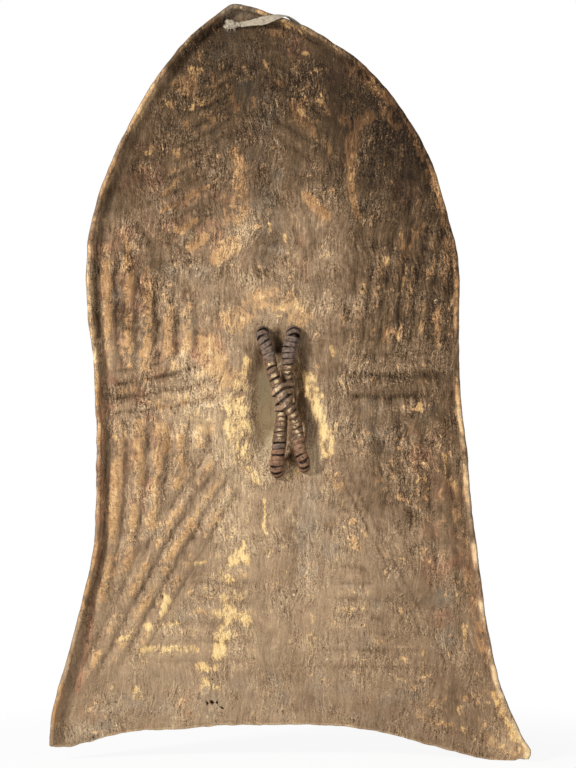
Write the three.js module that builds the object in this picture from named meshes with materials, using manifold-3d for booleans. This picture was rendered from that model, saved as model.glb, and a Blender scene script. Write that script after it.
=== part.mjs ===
// A moulded hide shield with a hand grip of two crossed, bound rods and a hanging thong at its apex.
// Millimetres. The bearer stands on the -Y side, +X is to the bearer's right and +Z is up.
// The origin is the middle of the grip, where the two rods cross.

import * as THREE from 'three';
import { mergeVertices } from 'three/addons/utils/BufferGeometryUtils.js';
import Module from 'manifold-3d';

// Hide
const hideHeight = 1100;
const hideWidth = 702;
const hideThickness = 7;
const hideBehindGrip = 24; // from the origin to the middle of the hide's thickness, beside the boss
const sideSweep = 48; // how far the side edges stand nearer to the bearer than the middle does
const crownSweep = 44;
const footSweep = 16;
const rimRise = 17; // how far the turned rim stands up from the hide's middle layer
const rimRadius = 10;
const footBevel = 4; // the lower edge is cut slanting, its front side longer
const footFlat = 5; // how much the two lower tips are worn flat

// Boss, the hollow for the hand
const bossDepth = 52;
const bossLine = 6; // the deepest line lies this far right of the origin
const bossMiddle = -8;
const bossLeftReach = 64;
const bossRightReach = 29;
const bossHalfLength = 98;
const bossFloorShare = 0.25;

// Grip
const gripHalfLength = 105;
const gripHalfSpread = 35;
const coreDiameter = 12;
const gripBend = 16;
const crossingReach = 60; // the rods leave their common plane this far from the crossing
const crossingFlatShare = 0.3;
const wrapThickness = 2.2;
const wrapGap = 1.1;
const wrapTail = 3;
const wrapSeatGap = 3.5; // from the hide to the first turn's tail
const lashingWidth = 8;
const lashingThickness = 2.2;
const lashingPitch = 11;
const lashingTop = 17;
const lashingSlopeShare = 0.15;
const lashingCornerShare = 0.25; // how soon the lashing leaves one rod for the other

// Stopper knots on the front
const knotDiameter = 25;
const knotHeight = 13;
const coreStub = 2;

// Hanging thong and its knot
const thongWidth = 8;
const thongThickness = 1.8;
const thongKnotLength = 20;
const thongKnotHeight = 15;
const thongKnotDepth = 11;
const thongKnotSinkShare = 0.2; // how much of its depth is pressed flat on the hide

// Awl holes near the lower edge
const awlDiameter = 3;
const awlSpacing = 7.3;
const awlDrop = 8;

// Fits
const fitClearance = 0.65;
const seatClearance = 0.35;
const cutOverrun = 30;

// Counts
const wrapTurns = 22;
const wrapSteps = 12;
const lashingTurns = 3;
const lashingSteps = 16;
const coreSides = 10;
const coreSteps = 44;
const thongSteps = 44;
const rimArcSteps = 3;
const knotSides = 12;
const holeSides = 16;
const searchSteps = 30;

// Outline, as [share of the width, share of the height], and the grid that fills it
const leftEdgeShares = [
  [-0.486, -0.459], [-0.483, -0.425], [-0.47, -0.388], [-0.451, -0.348], [-0.43, -0.295], [-0.41, -0.242],
  [-0.395, -0.188], [-0.391, -0.122], [-0.391, -0.056], [-0.392, -0.003], [-0.398, 0.057], [-0.409, 0.11],
  [-0.412, 0.163], [-0.407, 0.212], [-0.389, 0.263], [-0.358, 0.315], [-0.318, 0.368], [-0.27, 0.421],
  [-0.204, 0.474], [-0.137, 0.511],
];
const rightEdgeShares = [
  [0.507, -0.476], [0.511, -0.467], [0.497, -0.453], [0.476, -0.423], [0.453, -0.388], [0.437, -0.348],
  [0.422, -0.297], [0.41, -0.242], [0.398, -0.182], [0.387, -0.122], [0.38, -0.062], [0.369, -0.003],
  [0.365, 0.064], [0.366, 0.13], [0.361, 0.19], [0.337, 0.251], [0.308, 0.313], [0.26, 0.369],
  [0.198, 0.422], [0.127, 0.462], [0.071, 0.483], [0.029, 0.497],
];
const topEdgeShares = [
  [-0.137, 0.511], [-0.121, 0.518], [-0.106, 0.522], [-0.067, 0.518], [-0.025, 0.51], [0.002, 0.504],
  [0.029, 0.497],
];
const footEdgeShares = [
  [-0.486, -0.459], [-0.462, -0.459], [-0.424, -0.453], [-0.372, -0.445], [-0.31, -0.44], [-0.237, -0.439],
  [-0.154, -0.435], [-0.05, -0.434], [0.054, -0.434], [0.137, -0.437], [0.22, -0.445], [0.304, -0.458],
  [0.376, -0.469], [0.439, -0.477], [0.486, -0.48], [0.507, -0.476],
];
const columnShares = [
  0, 0.07, 0.14, 0.21, 0.28, 0.34, 0.385, 0.415, 0.44, 0.465, 0.49, 0.512, 0.53, 0.545, 0.56, 0.575, 0.592,
  0.625, 0.68, 0.74, 0.8, 0.87, 0.94, 1,
];
const rowShares = [
  0, 0.04, 0.085, 0.13, 0.175, 0.22, 0.26, 0.295, 0.32, 0.336, 0.35, 0.363, 0.376, 0.39, 0.405, 0.42, 0.435,
  0.45, 0.465, 0.478, 0.491, 0.504, 0.52, 0.545, 0.58, 0.62, 0.665, 0.71, 0.76, 0.81, 0.86, 0.91, 0.955, 1,
];
const crownShare = 0.522;
const footShare = 0.48;

// Rods, from the upper hole to the lower one, as [share of the half length, share of the half spread]
const frontRodShares = [
  [0.924, -0.9], [0.72, -0.73], [0.52, -0.58], [0.31, -0.42], [0, -0.06], [-0.2, 0.33], [-0.35, 0.49],
  [-0.6, 0.63], [-0.81, 0.73], [-0.973, 0.84],
];
const rearRodShares = [
  [0.924, 0.38], [0.72, 0.25], [0.5, 0.17], [0.26, 0.12], [0, 0.01], [-0.3, -0.1], [-0.6, -0.19],
  [-0.83, -0.26], [-1.029, -0.3],
];

// Steps of a quarter turn, in a rod's bend and at a strip's end
const bendShares = [1 / 3, 2 / 3, 1];

// Section of a wound strip, as [share of its half width, share of its thickness]
const stripSectionShares = [[-0.95, 0], [0.95, 0], [1, 0.5], [0.5, 1], [-0.5, 1], [-1, 0.5]];
// Section of a stopper knot, as [share from bore to outside, share of its height]
const knotSectionShares = [[0, 0], [0.7, 0], [1, 0.25], [1, 0.6], [0.65, 1], [0, 1]];
// Awl holes, as [share of the width, share of the height]
const awlPlaceShares = [-0.161, -0.408];

// The thong's route, from the hole under its knot, along the front, round the edge and back to the knot,
// each point with the side that the strip's flat face looks to
const thongRoute = [
  { at: [-76, -21, 546], faces: [1, 0, 0.2] },
  { at: [-76, -13, 546], faces: [1, 0, 0.2] },
  { at: [-73, -8.4, 545.4], faces: [0.6, -0.8, 0] },
  { at: [-66, -7.6, 543.5], faces: [0, -1, 0] },
  { at: [-50, -9.2, 537], faces: [0, -1, 0] },
  { at: [-30, -7.4, 527.5], faces: [0, -1, 0] },
  { at: [-12, -5.2, 519], faces: [0, -1, 0] },
  { at: [4, -3.4, 512.5], faces: [0, -1, 0] },
  { at: [18, -1.8, 510.5], faces: [0, -1, 0] },
  { at: [28, -1.6, 516.5], faces: [0, -1, 0] },
  { at: [31.5, -4.2, 527], faces: [-0.2, -1, -0.2] },
  { at: [28.5, -9.5, 537.5], faces: [-0.4, -0.8, -0.5] },
  { at: [21, -16.5, 547], faces: [-0.45, -0.45, -0.8] },
  { at: [12, -24.5, 553.5], faces: [-0.4, -0.2, -0.9] },
  { at: [2, -33, 558], faces: [-0.2, 0.35, -0.9] },
  { at: [-9, -38.4, 556.3], faces: [0, 0.85, -0.5] },
  { at: [-24, -37.4, 552], faces: [0, 1, 0] },
  { at: [-42, -32.4, 549], faces: [0.1, 1, 0] },
  { at: [-56, -28.2, 547], faces: [0.2, 1, 0] },
  { at: [-65.2, -27.4, 546], faces: [0, 1, 0] },
];

const wasm = await Module();
wasm.setup();

const crownHeight = hideHeight * crownShare;
const footDepth = hideHeight * footShare;
const halfThickness = hideThickness / 2;
const coreRadius = coreDiameter / 2;
const wrappedRadius = coreRadius + fitClearance + wrapThickness;
const crossingOffset = wrappedRadius + seatClearance;

const smooth = (share) => {
  const t = THREE.MathUtils.clamp(share, 0, 1);
  return t * t * (3 - 2 * t);
};

// How far the boss swells to the front at a place on the hide
function bossSwell(x, z) {
  const reach = x < bossLine ? bossLeftReach : bossRightReach;
  const across = smooth((1 - Math.abs(x - bossLine) / reach) / (1 - bossFloorShare));
  const along = smooth((1 - Math.abs(z - bossMiddle) / bossHalfLength) / (1 - bossFloorShare));
  return bossDepth * across * along;
}

// Y of the middle of the hide's thickness, without the turned rim
function hideMiddleAt(x, z) {
  const side = sideSweep * (x / (hideWidth / 2)) ** 2;
  const end = z > 0 ? crownSweep * (z / crownHeight) ** 2 : footSweep * (z / footDepth) ** 2;
  return hideBehindGrip - side - end + bossSwell(x, z);
}

function edgeCurve(shares) {
  const points = shares.map(([across, up]) => new THREE.Vector3(across * hideWidth, 0, up * hideHeight));
  return new THREE.CatmullRomCurve3(points, false, 'centripetal');
}

const pointsAlong = (curve, shares) => shares.map((share) => curve.getPointAt(share));

// Level inward directions along an open run of outline points
function inwardAlong(points) {
  return points.map((point, i) => {
    const before = points[Math.max(i - 1, 0)];
    const after = points[Math.min(i + 1, points.length - 1)];
    const along = after.clone().sub(before).normalize();
    return new THREE.Vector3(along.z, 0, -along.x);
  });
}

// A patch that fills four edges, each a list of points
function patchPoint(edges, i, j) {
  const { foot, top, left, right } = edges;
  const u = columnShares[i];
  const v = rowShares[j];
  const last = columnShares.length - 1;
  const point = foot[i].clone().multiplyScalar(1 - v).addScaledVector(top[i], v);
  point.addScaledVector(left[j], 1 - u).addScaledVector(right[j], u);
  point.addScaledVector(foot[0], -(1 - u) * (1 - v)).addScaledVector(foot[last], -u * (1 - v));
  point.addScaledVector(top[0], -(1 - u) * v).addScaledVector(top[last], -u * v);
  return point;
}

// The middle layer of the hide: a patch of columns and rows inside a turned rim on three sides
function hideMiddleLayer() {
  const columns = columnShares.length - 1;
  const rows = rowShares.length - 1;
  const left = pointsAlong(edgeCurve(leftEdgeShares), rowShares);
  const right = pointsAlong(edgeCurve(rightEdgeShares), rowShares);
  const top = pointsAlong(edgeCurve(topEdgeShares), columnShares);
  const foot = pointsAlong(edgeCurve(footEdgeShares), columnShares);
  const round = [...left, ...top.slice(1), ...right.slice(0, -1).reverse()];
  const inward = inwardAlong(round);
  const inset = (i, distance) => round[i].clone().addScaledVector(inward[i], distance);

  const border = round.map((_, i) => inset(i, halfThickness + rimRadius));
  const innerLeft = border.slice(0, rows + 1);
  const innerTop = border.slice(rows, rows + columns + 1);
  const innerRight = border.slice(rows + columns).reverse();
  const innerFoot = foot.map((point, i) => {
    const u = columnShares[i];
    return point.clone()
      .addScaledVector(innerLeft[0].clone().sub(foot[0]), 1 - u)
      .addScaledVector(innerRight[0].clone().sub(foot[columns]), u);
  });
  const edges = { foot: innerFoot, top: innerTop, left: innerLeft, right: innerRight };

  const points = [];
  const footIndices = new Set();
  for (let j = 0; j <= rows; j += 1) {
    for (let i = 0; i <= columns; i += 1) {
      const point = patchPoint(edges, i, j);
      point.y = hideMiddleAt(point.x, point.z);
      if (j === 0) footIndices.add(points.length);
      points.push(point);
    }
  }
  const patchIndex = (i, j) => j * (columns + 1) + i;
  const faces = [];
  for (let j = 0; j < rows; j += 1) {
    for (let i = 0; i < columns; i += 1) {
      faces.push([patchIndex(i, j), patchIndex(i + 1, j), patchIndex(i + 1, j + 1)]);
      faces.push([patchIndex(i, j), patchIndex(i + 1, j + 1), patchIndex(i, j + 1)]);
    }
  }

  let inner = round.map((_, i) => {
    if (i <= rows) return patchIndex(0, i);
    return i <= rows + columns ? patchIndex(i - rows, rows) : patchIndex(columns, 2 * rows + columns - i);
  });
  for (let ring = 1; ring <= rimArcSteps + 1; ring += 1) {
    const angle = (Math.PI / 2) * Math.min(ring / rimArcSteps, 1);
    const distance = halfThickness + rimRadius * (1 - Math.sin(angle));
    const rise = ring > rimArcSteps ? rimRise : rimRadius * (1 - Math.cos(angle));
    const outer = round.map((_, i) => {
      const point = inset(i, distance);
      point.y = hideMiddleAt(point.x, point.z) - rise;
      if (i === 0 || i === round.length - 1) footIndices.add(points.length);
      points.push(point);
      return points.length - 1;
    });
    for (let i = 0; i < round.length - 1; i += 1) {
      faces.push([inner[i], inner[i + 1], outer[i + 1]]);
      faces.push([inner[i], outer[i + 1], outer[i]]);
    }
    inner = outer;
  }
  return { points, faces, footIndices };
}

// Directions that look to the bearer's side, one at each point of a layer
function layerNormals({ points, faces }) {
  const normals = points.map(() => new THREE.Vector3());
  for (const [a, b, c] of faces) {
    const first = points[b].clone().sub(points[a]);
    const second = points[c].clone().sub(points[a]);
    const normal = first.cross(second);
    for (const index of [a, b, c]) normals[index].add(normal);
  }
  return normals.map((normal) => normal.normalize());
}

function indexedGeometry(points, faces) {
  const geometry = new THREE.BufferGeometry();
  geometry.setAttribute('position', new THREE.Float32BufferAttribute(points.flatMap((p) => p.toArray()), 3));
  geometry.setIndex(faces.flat());
  return geometry;
}

// A closed slab of the hide's thickness round the middle layer
function hideSlab() {
  const layer = hideMiddleLayer();
  const normals = layerNormals(layer);
  const count = layer.points.length;
  const rear = layer.points.map((point, i) => point.clone().addScaledVector(normals[i], halfThickness));
  const front = layer.points.map((point, i) => {
    const moved = point.clone().addScaledVector(normals[i], -halfThickness);
    if (layer.footIndices.has(i)) moved.z -= footBevel * Math.abs(normals[i].y);
    return moved;
  });
  const faces = [...layer.faces];
  const edges = new Set();
  for (const [a, b, c] of layer.faces) {
    faces.push([a + count, c + count, b + count]);
    for (const [from, to] of [[a, b], [b, c], [c, a]]) edges.add(`${from},${to}`);
  }
  for (const edge of edges) {
    const [from, to] = edge.split(',').map(Number);
    if (edges.has(`${to},${from}`)) continue;
    faces.push([to, from, from + count], [to, from + count, to + count]);
  }
  return indexedGeometry([...rear, ...front], faces);
}

// Booleans
function toSolid(geometry) {
  const bare = geometry.clone();
  bare.deleteAttribute('normal');
  bare.deleteAttribute('uv');
  const merged = mergeVertices(bare);
  return new wasm.Manifold(new wasm.Mesh({
    numProp: 3,
    vertProperties: new Float32Array(merged.attributes.position.array),
    triVerts: new Uint32Array(merged.index.array),
  }));
}

function toGeometry(solid) {
  const mesh = solid.getMesh();
  const geometry = new THREE.BufferGeometry();
  geometry.setAttribute('position', new THREE.BufferAttribute(new Float32Array(mesh.vertProperties), 3));
  geometry.setIndex(new THREE.BufferAttribute(new Uint32Array(mesh.triVerts), 1));
  return geometry;
}

// A round drill through the hide, along Y
function drill(diameter, x, z, sides) {
  const geometry = new THREE.CylinderGeometry(diameter / 2, diameter / 2, 2 * cutOverrun, sides);
  geometry.translate(x, hideMiddleAt(x, z), z);
  return toSolid(geometry);
}

// A block whose top face cuts a lower tip level
function tipCut(slab, leftTip) {
  const position = slab.getAttribute('position');
  const heights = [];
  for (let i = 0; i < position.count; i += 1) {
    if (position.getX(i) < 0 === leftTip) heights.push(position.getZ(i));
  }
  const level = Math.min(...heights) + footFlat;
  const geometry = new THREE.BoxGeometry(hideWidth / 2, hideWidth, cutOverrun);
  geometry.translate((leftTip ? -1 : 1) * (hideWidth / 4 + cutOverrun), 0, level - cutOverrun / 2);
  return toSolid(geometry);
}

function hideShell(slab, rods) {
  const holeDiameter = coreDiameter + 2 * fitClearance;
  const holes = rods.flatMap(({ ends }) => ends.map(([x, z]) => drill(holeDiameter, x, z, holeSides)));
  const [thongX, , thongZ] = thongRoute[0].at;
  holes.push(drill(thongWidth + 2 * fitClearance, thongX, thongZ, holeSides));
  const [awlX, awlZ] = [awlPlaceShares[0] * hideWidth, awlPlaceShares[1] * hideHeight];
  for (const [across, down] of [[0, 0], [1, 0], [2, 0], [3, 1]]) {
    holes.push(drill(awlDiameter, awlX + across * awlSpacing, awlZ - down * awlDrop, holeSides / 2));
  }
  const cuts = [...holes, tipCut(slab, true), tipCut(slab, false)];
  return toGeometry(cuts.reduce((solid, cut) => solid.subtract(cut), toSolid(slab)));
}

// A piece trimmed to lie on the hide's front (side 1) or on its bearer's side (side -1)
function seatedOn(slab, geometry, side) {
  const shifts = [seatClearance, -halfThickness];
  const cuts = shifts.map((shift) => toSolid(slab.clone().translate(0, side * shift, 0)));
  return toGeometry(cuts.reduce((solid, cut) => solid.subtract(cut), toSolid(geometry)));
}

const frontAt = (x, z) => hideMiddleAt(x, z) + halfThickness;
const rearAt = (x, z) => hideMiddleAt(x, z) - halfThickness;
const coreTipAt = (x, z) => frontAt(x, z) + knotHeight + coreStub;

// One rod of the grip: a run that crosses the other one, and bends at both ends into the hide
function gripRod(shares, side) {
  const run = shares.map(([up, across]) => {
    const z = up * gripHalfLength;
    const far = (Math.abs(z) / crossingReach - crossingFlatShare) / (1 - crossingFlatShare);
    return new THREE.Vector3(across * gripHalfSpread, side * crossingOffset * (1 - smooth(far)), z);
  });
  const first = run.shift();
  const last = run.pop();
  const bend = (end, up) => bendShares.map((share) => {
    const angle = (Math.PI / 2) * share;
    const z = end.z - up * gripBend * (1 - Math.sin(angle));
    return new THREE.Vector3(end.x, gripBend * (1 - Math.cos(angle)), z);
  });
  const tip = (end) => {
    const y = coreTipAt(end.x, end.z);
    return [new THREE.Vector3(end.x, (y + gripBend) / 2, end.z), new THREE.Vector3(end.x, y, end.z)];
  };
  const points = [
    ...tip(first).reverse(), ...bend(first, 1).reverse(), ...run, ...bend(last, -1), ...tip(last),
  ];
  const curve = new THREE.CatmullRomCurve3(points, false, 'centripetal');
  return { curve, ends: [[first.x, first.z], [last.x, last.z]] };
}

function rodCore({ curve }) {
  const section = new THREE.Shape().absarc(0, 0, coreRadius, 0, 2 * Math.PI, false);
  const options = { steps: coreSteps, curveSegments: coreSides / 2, bevelEnabled: false, extrudePath: curve };
  return new THREE.ExtrudeGeometry(section, options);
}

// A place on the surface round a rod: turned by an angle, a distance along it, lifted from it
function rodSurface({ curve }) {
  const steps = 6 * coreSteps;
  const frames = curve.computeFrenetFrames(steps, false);
  const length = curve.getLength();
  return (angle, along, lift) => {
    const share = THREE.MathUtils.clamp(along / length, 0, 1);
    const low = Math.min(Math.floor(share * steps), steps - 1);
    const blend = share * steps - low;
    const normal = frames.normals[low].clone().lerp(frames.normals[low + 1], blend).normalize();
    const binormal = frames.binormals[low].clone().lerp(frames.binormals[low + 1], blend).normalize();
    const radius = coreRadius + fitClearance + lift;
    return curve.getPointAt(share)
      .addScaledVector(normal, radius * Math.cos(angle))
      .addScaledVector(binormal, radius * Math.sin(angle));
  };
}

// The stations of a strip that winds on a surface, each end turned straight for the strip's tail
function windingStations({ start, pitch, turns, steps, widthAt, radius }) {
  const stations = [];
  const corner = wrapTail;
  const tail = (end) => {
    const sign = end ? 1 : -1;
    const angle = end ? 2 * Math.PI * turns : 0;
    const along = end ? start + pitch * turns : start;
    const bends = bendShares.map((share) => {
      const turn = (Math.PI / 2) * share;
      return {
        angle: angle + (sign * corner * Math.sin(turn)) / radius,
        along: along + sign * corner * (1 - Math.cos(turn)),
        acrossAngle: (-Math.sin(turn) * wrapTail) / 2 / radius,
        acrossAlong: (Math.cos(turn) * wrapTail) / 2,
      };
    });
    const out = bends[bends.length - 1];
    const straight = { ...out, along: out.along + sign * wrapTail };
    return end ? [...bends, straight] : [straight, ...bends.reverse()];
  };
  for (let i = 0; i <= turns * steps; i += 1) {
    const along = start + (pitch * i) / steps;
    const ends = Math.min(i, turns * steps - i) / (steps / 2);
    const width = THREE.MathUtils.lerp(wrapTail, widthAt(along), smooth(ends));
    stations.push({ angle: (2 * Math.PI * i) / steps, along, acrossAngle: 0, acrossAlong: width / 2 });
  }
  return [...tail(false), ...stations, ...tail(true)];
}

// A closed strip through the stations, and the least gap between its turns
function windingGeometry(name, place, stations, steps, thickness) {
  const sides = stripSectionShares.length;
  const rings = stations.map((station) => stripSectionShares.map(([side, lift]) => place(
    station.angle + side * station.acrossAngle,
    station.along + side * station.acrossAlong,
    lift * thickness,
  )));
  const faces = [];
  const add = (a, b, c) => faces.push([a, b, c]);
  for (let i = 0; i < rings.length - 1; i += 1) {
    for (let k = 0; k < sides; k += 1) {
      const next = (k + 1) % sides;
      add(i * sides + k, i * sides + next, (i + 1) * sides + next);
      add(i * sides + k, (i + 1) * sides + next, (i + 1) * sides + k);
    }
  }
  const lastRing = (rings.length - 1) * sides;
  for (let k = 1; k < sides - 1; k += 1) {
    add(0, k + 1, k);
    add(lastRing, lastRing + k, lastRing + k + 1);
  }
  let least = Infinity;
  for (let i = 0; i < rings.length; i += 1) {
    for (let j = i + steps / 2; j < rings.length; j += 1) {
      for (const from of rings[i]) for (const to of rings[j]) least = Math.min(least, from.distanceTo(to));
    }
  }
  console.log(`${name}: ${stations.length} stations, least gap to itself ${least.toFixed(2)} mm`);
  return indexedGeometry(rings.flat(), faces);
}

// The strip wound on one rod, from near the hide round the whole run and back to near the hide
function rodWrap(name, rod) {
  const { curve, ends } = rod;
  const [upper, lower] = ends;
  const stubAt = ([x, z]) => coreTipAt(x, z) - rearAt(x, z) + wrapSeatGap + 2 * wrapTail;
  const start = stubAt(upper);
  const length = curve.getLength();
  const pitch = (length - start - stubAt(lower)) / wrapTurns;
  const sample = pitch / 2;
  const widthAt = (along) => {
    const before = curve.getTangentAt(Math.max(along - sample, 0) / length);
    const after = curve.getTangentAt(Math.min(along + sample, length) / length);
    const bend = before.angleTo(after) / (2 * sample);
    return pitch * (1 - bend * wrappedRadius) - wrapGap;
  };
  const radius = coreRadius + fitClearance;
  const stations = windingStations({ start, pitch, turns: wrapTurns, steps: wrapSteps, widthAt, radius });
  return windingGeometry(name, rodSurface(rod), stations, wrapSteps, wrapThickness);
}

// Where a rod's axis passes a height, and how much wider than the rod its level section is there
function rodAt({ curve }, z) {
  let low = 0;
  let high = 1;
  for (let i = 0; i < searchSteps; i += 1) {
    const middle = (low + high) / 2;
    if (curve.getPoint(middle).z > z) low = middle;
    else high = middle;
  }
  return { point: curve.getPoint(low), widening: 1 / Math.abs(curve.getTangent(low).z) };
}

// A place round both rods at their crossing
function crossingSurface(frontRod, rearRod) {
  return (angle, along, lift) => {
    const radius = wrappedRadius + fitClearance + lift;
    const direction = new THREE.Vector3(Math.cos(angle), -Math.sin(angle), 0);
    const level = lashingTop - along;
    const z = level + lashingSlopeShare * radius * 2 * direction.x;
    const front = rodAt(frontRod, z);
    const rear = rodAt(rearRod, z);
    const half = front.point.clone().sub(rear.point).multiplyScalar(0.5);
    const facing = direction.dot(half.clone().normalize());
    const share = THREE.MathUtils.clamp(facing / lashingCornerShare, -1, 1);
    const place = front.point.add(rear.point).multiplyScalar(0.5).addScaledVector(half, share);
    place.x += direction.x * radius * Math.max(front.widening, rear.widening);
    place.y += direction.y * radius;
    place.z = z;
    return place;
  };
}

function crossingLashing(frontRod, rearRod) {
  const stations = windingStations({
    start: 0,
    pitch: lashingPitch,
    turns: lashingTurns,
    steps: lashingSteps,
    widthAt: () => lashingWidth,
    radius: wrappedRadius + fitClearance,
  });
  const place = crossingSurface(frontRod, rearRod);
  return windingGeometry('crossing_lashing', place, stations, lashingSteps, lashingThickness);
}

// A stopper knot, a thick ring seated on the hide's front round the end of a rod
function frontKnot(slab, [x, z]) {
  const bore = coreRadius + fitClearance;
  const profile = knotSectionShares.map(([out, up]) => new THREE.Vector2(
    THREE.MathUtils.lerp(bore, knotDiameter / 2, out),
    up * (knotHeight + halfThickness),
  ));
  profile.push(profile[0].clone());
  const geometry = new THREE.LatheGeometry(profile, knotSides);
  geometry.translate(x, hideMiddleAt(x, z), z);
  return seatedOn(slab, geometry, 1);
}

// A path whose flat face keeps looking to a given side
class StripPath extends THREE.CatmullRomCurve3 {
  constructor(route) {
    super(route.map(({ at }) => new THREE.Vector3(...at)), false, 'centripetal');
    this.facing = new THREE.CatmullRomCurve3(route.map(({ faces }) => new THREE.Vector3(...faces)));
  }

  computeFrenetFrames(segments) {
    const frames = { tangents: [], normals: [], binormals: [] };
    for (let i = 0; i <= segments; i += 1) {
      const share = i / segments;
      const tangent = this.getTangentAt(share);
      const normal = this.facing.getPoint(this.getUtoTmapping(share));
      normal.addScaledVector(tangent, -normal.dot(tangent)).normalize();
      frames.tangents.push(tangent);
      frames.normals.push(normal);
      frames.binormals.push(tangent.clone().cross(normal));
    }
    return frames;
  }
}

function hangingThong() {
  const path = new StripPath(thongRoute);
  console.log(`hanging_thong: ${path.getLength().toFixed(0)} mm long`);
  const section = new THREE.Shape().absellipse(0, 0, thongThickness / 2, thongWidth / 2, 0, 2 * Math.PI);
  const options = { steps: thongSteps, curveSegments: 4, bevelEnabled: false, extrudePath: path };
  return new THREE.ExtrudeGeometry(section, options);
}

// The knot that ties the thong's two ends, seated over its hole on the bearer's side
function thongKnot(slab) {
  const [x, , z] = thongRoute[0].at;
  const geometry = new THREE.SphereGeometry(1, knotSides, knotSides / 2);
  const depth = thongKnotDepth * (1 + thongKnotSinkShare);
  geometry.scale(thongKnotLength / 2, depth / 2, thongKnotHeight / 2);
  geometry.translate(x, rearAt(x, z) - thongKnotDepth + depth / 2, z);
  return seatedOn(slab, geometry, -1);
}

function finish(color, roughness) {
  return new THREE.MeshStandardMaterial({ color, roughness, metalness: 0 });
}

const hideFinish = finish(0x7a6248, 0.85);
const coreFinish = finish(0x4a3a2c, 0.75);
const wrapFinish = finish(0x6b5340, 0.45);
const knotFinish = finish(0x5a4432, 0.7);
const thongFinish = finish(0xb5aa9a, 0.9);

const shield = new THREE.Group();

function addPiece(name, geometry, material) {
  const mesh = new THREE.Mesh(geometry, material.clone());
  mesh.name = name;
  shield.add(mesh);
}

const frontRod = gripRod(frontRodShares, -1);
const rearRod = gripRod(rearRodShares, 1);

const slab = hideSlab();

addPiece('hide_shell', hideShell(slab, [frontRod, rearRod]), hideFinish);
addPiece('grip_core_front', rodCore(frontRod), coreFinish);
addPiece('grip_core_rear', rodCore(rearRod), coreFinish);
addPiece('grip_wrap_front', rodWrap('grip_wrap_front', frontRod), wrapFinish);
addPiece('grip_wrap_rear', rodWrap('grip_wrap_rear', rearRod), wrapFinish);
addPiece('crossing_lashing', crossingLashing(frontRod, rearRod), wrapFinish);
addPiece('front_knot_upper_left', frontKnot(slab, frontRod.ends[0]), knotFinish);
addPiece('front_knot_upper_right', frontKnot(slab, rearRod.ends[0]), knotFinish);
addPiece('front_knot_lower_left', frontKnot(slab, rearRod.ends[1]), knotFinish);
addPiece('front_knot_lower_right', frontKnot(slab, frontRod.ends[1]), knotFinish);
addPiece('hanging_thong', hangingThong(), thongFinish);
addPiece('thong_knot', thongKnot(slab), thongFinish);

export default shield;
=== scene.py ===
"""A moulded hide shield with a bound hand grip and a hanging thong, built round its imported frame.

Metres throughout. The bearer stands on the -Y side, +X is to the bearer's right and +Z is up. The origin
is the middle of the grip, where its two rods cross. Names that end in pixels are places in the photograph.
"""

import logging
import math
from collections.abc import Sequence
from dataclasses import asdict, dataclass, fields
from enum import Enum
from typing import Union

import bmesh
import bpy
import numpy as np
from mathutils import Matrix, Vector, noise


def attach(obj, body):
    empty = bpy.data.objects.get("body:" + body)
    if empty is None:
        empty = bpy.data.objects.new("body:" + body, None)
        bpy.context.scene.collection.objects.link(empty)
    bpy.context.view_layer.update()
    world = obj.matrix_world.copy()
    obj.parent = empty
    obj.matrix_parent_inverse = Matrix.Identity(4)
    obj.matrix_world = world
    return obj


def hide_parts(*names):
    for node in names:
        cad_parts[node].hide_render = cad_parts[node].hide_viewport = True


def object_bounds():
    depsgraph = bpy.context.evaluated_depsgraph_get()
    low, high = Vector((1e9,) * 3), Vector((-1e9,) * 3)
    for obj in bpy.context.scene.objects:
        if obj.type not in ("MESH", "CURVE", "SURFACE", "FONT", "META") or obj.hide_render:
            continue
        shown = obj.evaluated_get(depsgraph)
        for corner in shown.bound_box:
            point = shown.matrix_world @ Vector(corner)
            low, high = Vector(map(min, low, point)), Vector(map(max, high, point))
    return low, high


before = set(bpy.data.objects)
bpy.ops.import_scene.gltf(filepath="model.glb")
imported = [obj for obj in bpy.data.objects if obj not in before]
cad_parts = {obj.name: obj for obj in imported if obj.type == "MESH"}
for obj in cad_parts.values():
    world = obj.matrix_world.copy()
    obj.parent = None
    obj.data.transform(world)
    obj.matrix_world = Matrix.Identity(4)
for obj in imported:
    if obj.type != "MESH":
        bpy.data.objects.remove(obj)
cad_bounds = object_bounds()

LOG = logging.getLogger("shield")
MILLI = 0.001
TAU = 2 * math.pi
TINY = 1e-12

Pixel = tuple[float, float]
Line = tuple[Pixel, ...]
Colour = tuple[float, float, float]
Stops = tuple[tuple[float, Colour], ...]
Gains = tuple[float, ...]
Socket = bpy.types.NodeSocket
Piece = bpy.types.Object
Array = np.ndarray
Value = Union["Signal", float, Colour, bpy.types.Material, None]
Values = dict[str, Array]
Faces = list[Sequence[int]]


class Mask(Enum):
    """Float attributes of the hide's mesh that its finish reads."""

    # The hide's tone: its own colour, with painted shade and painted light worked in.
    TONE = "tone"
    PHASE = "phase"
    BAND = "band"
    WEAR = "wear"
    LIP = "lip"
    # Painted shade in the crease just inside the turned rim.
    CREASE = "crease"
    CREAM = "cream"
    OCHRE = "ochre"
    RUST = "rust"
    SLATE = "slate"
    FRONT = "front"


class Side(Enum):
    """The two faces of the hide, with the way each one looks along Y."""

    BEARER = -1
    FRONT = 1


@dataclass(frozen=True)
class PhotoMap:
    """Where a pixel of the photograph lies on the shield, seen straight from the bearer's side."""

    origin_pixels: Pixel = (284.0, 398.0)
    metres_per_pixel: float = 0.00146

    def places(self, line: Line) -> Array:
        """Turn pixels, across and down, into X and Z in metres, one row for each pixel."""
        pixels = np.array(line, float)
        away = (pixels - np.array(self.origin_pixels)) * self.metres_per_pixel
        return away * np.array([1, -1])

    def pixels(self, places: Array) -> Array:
        """Turn X and Z in metres into pixels, one row for each place."""
        return places * np.array([1, -1]) / self.metres_per_pixel + np.array(self.origin_pixels)


PHOTO = PhotoMap()


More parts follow.
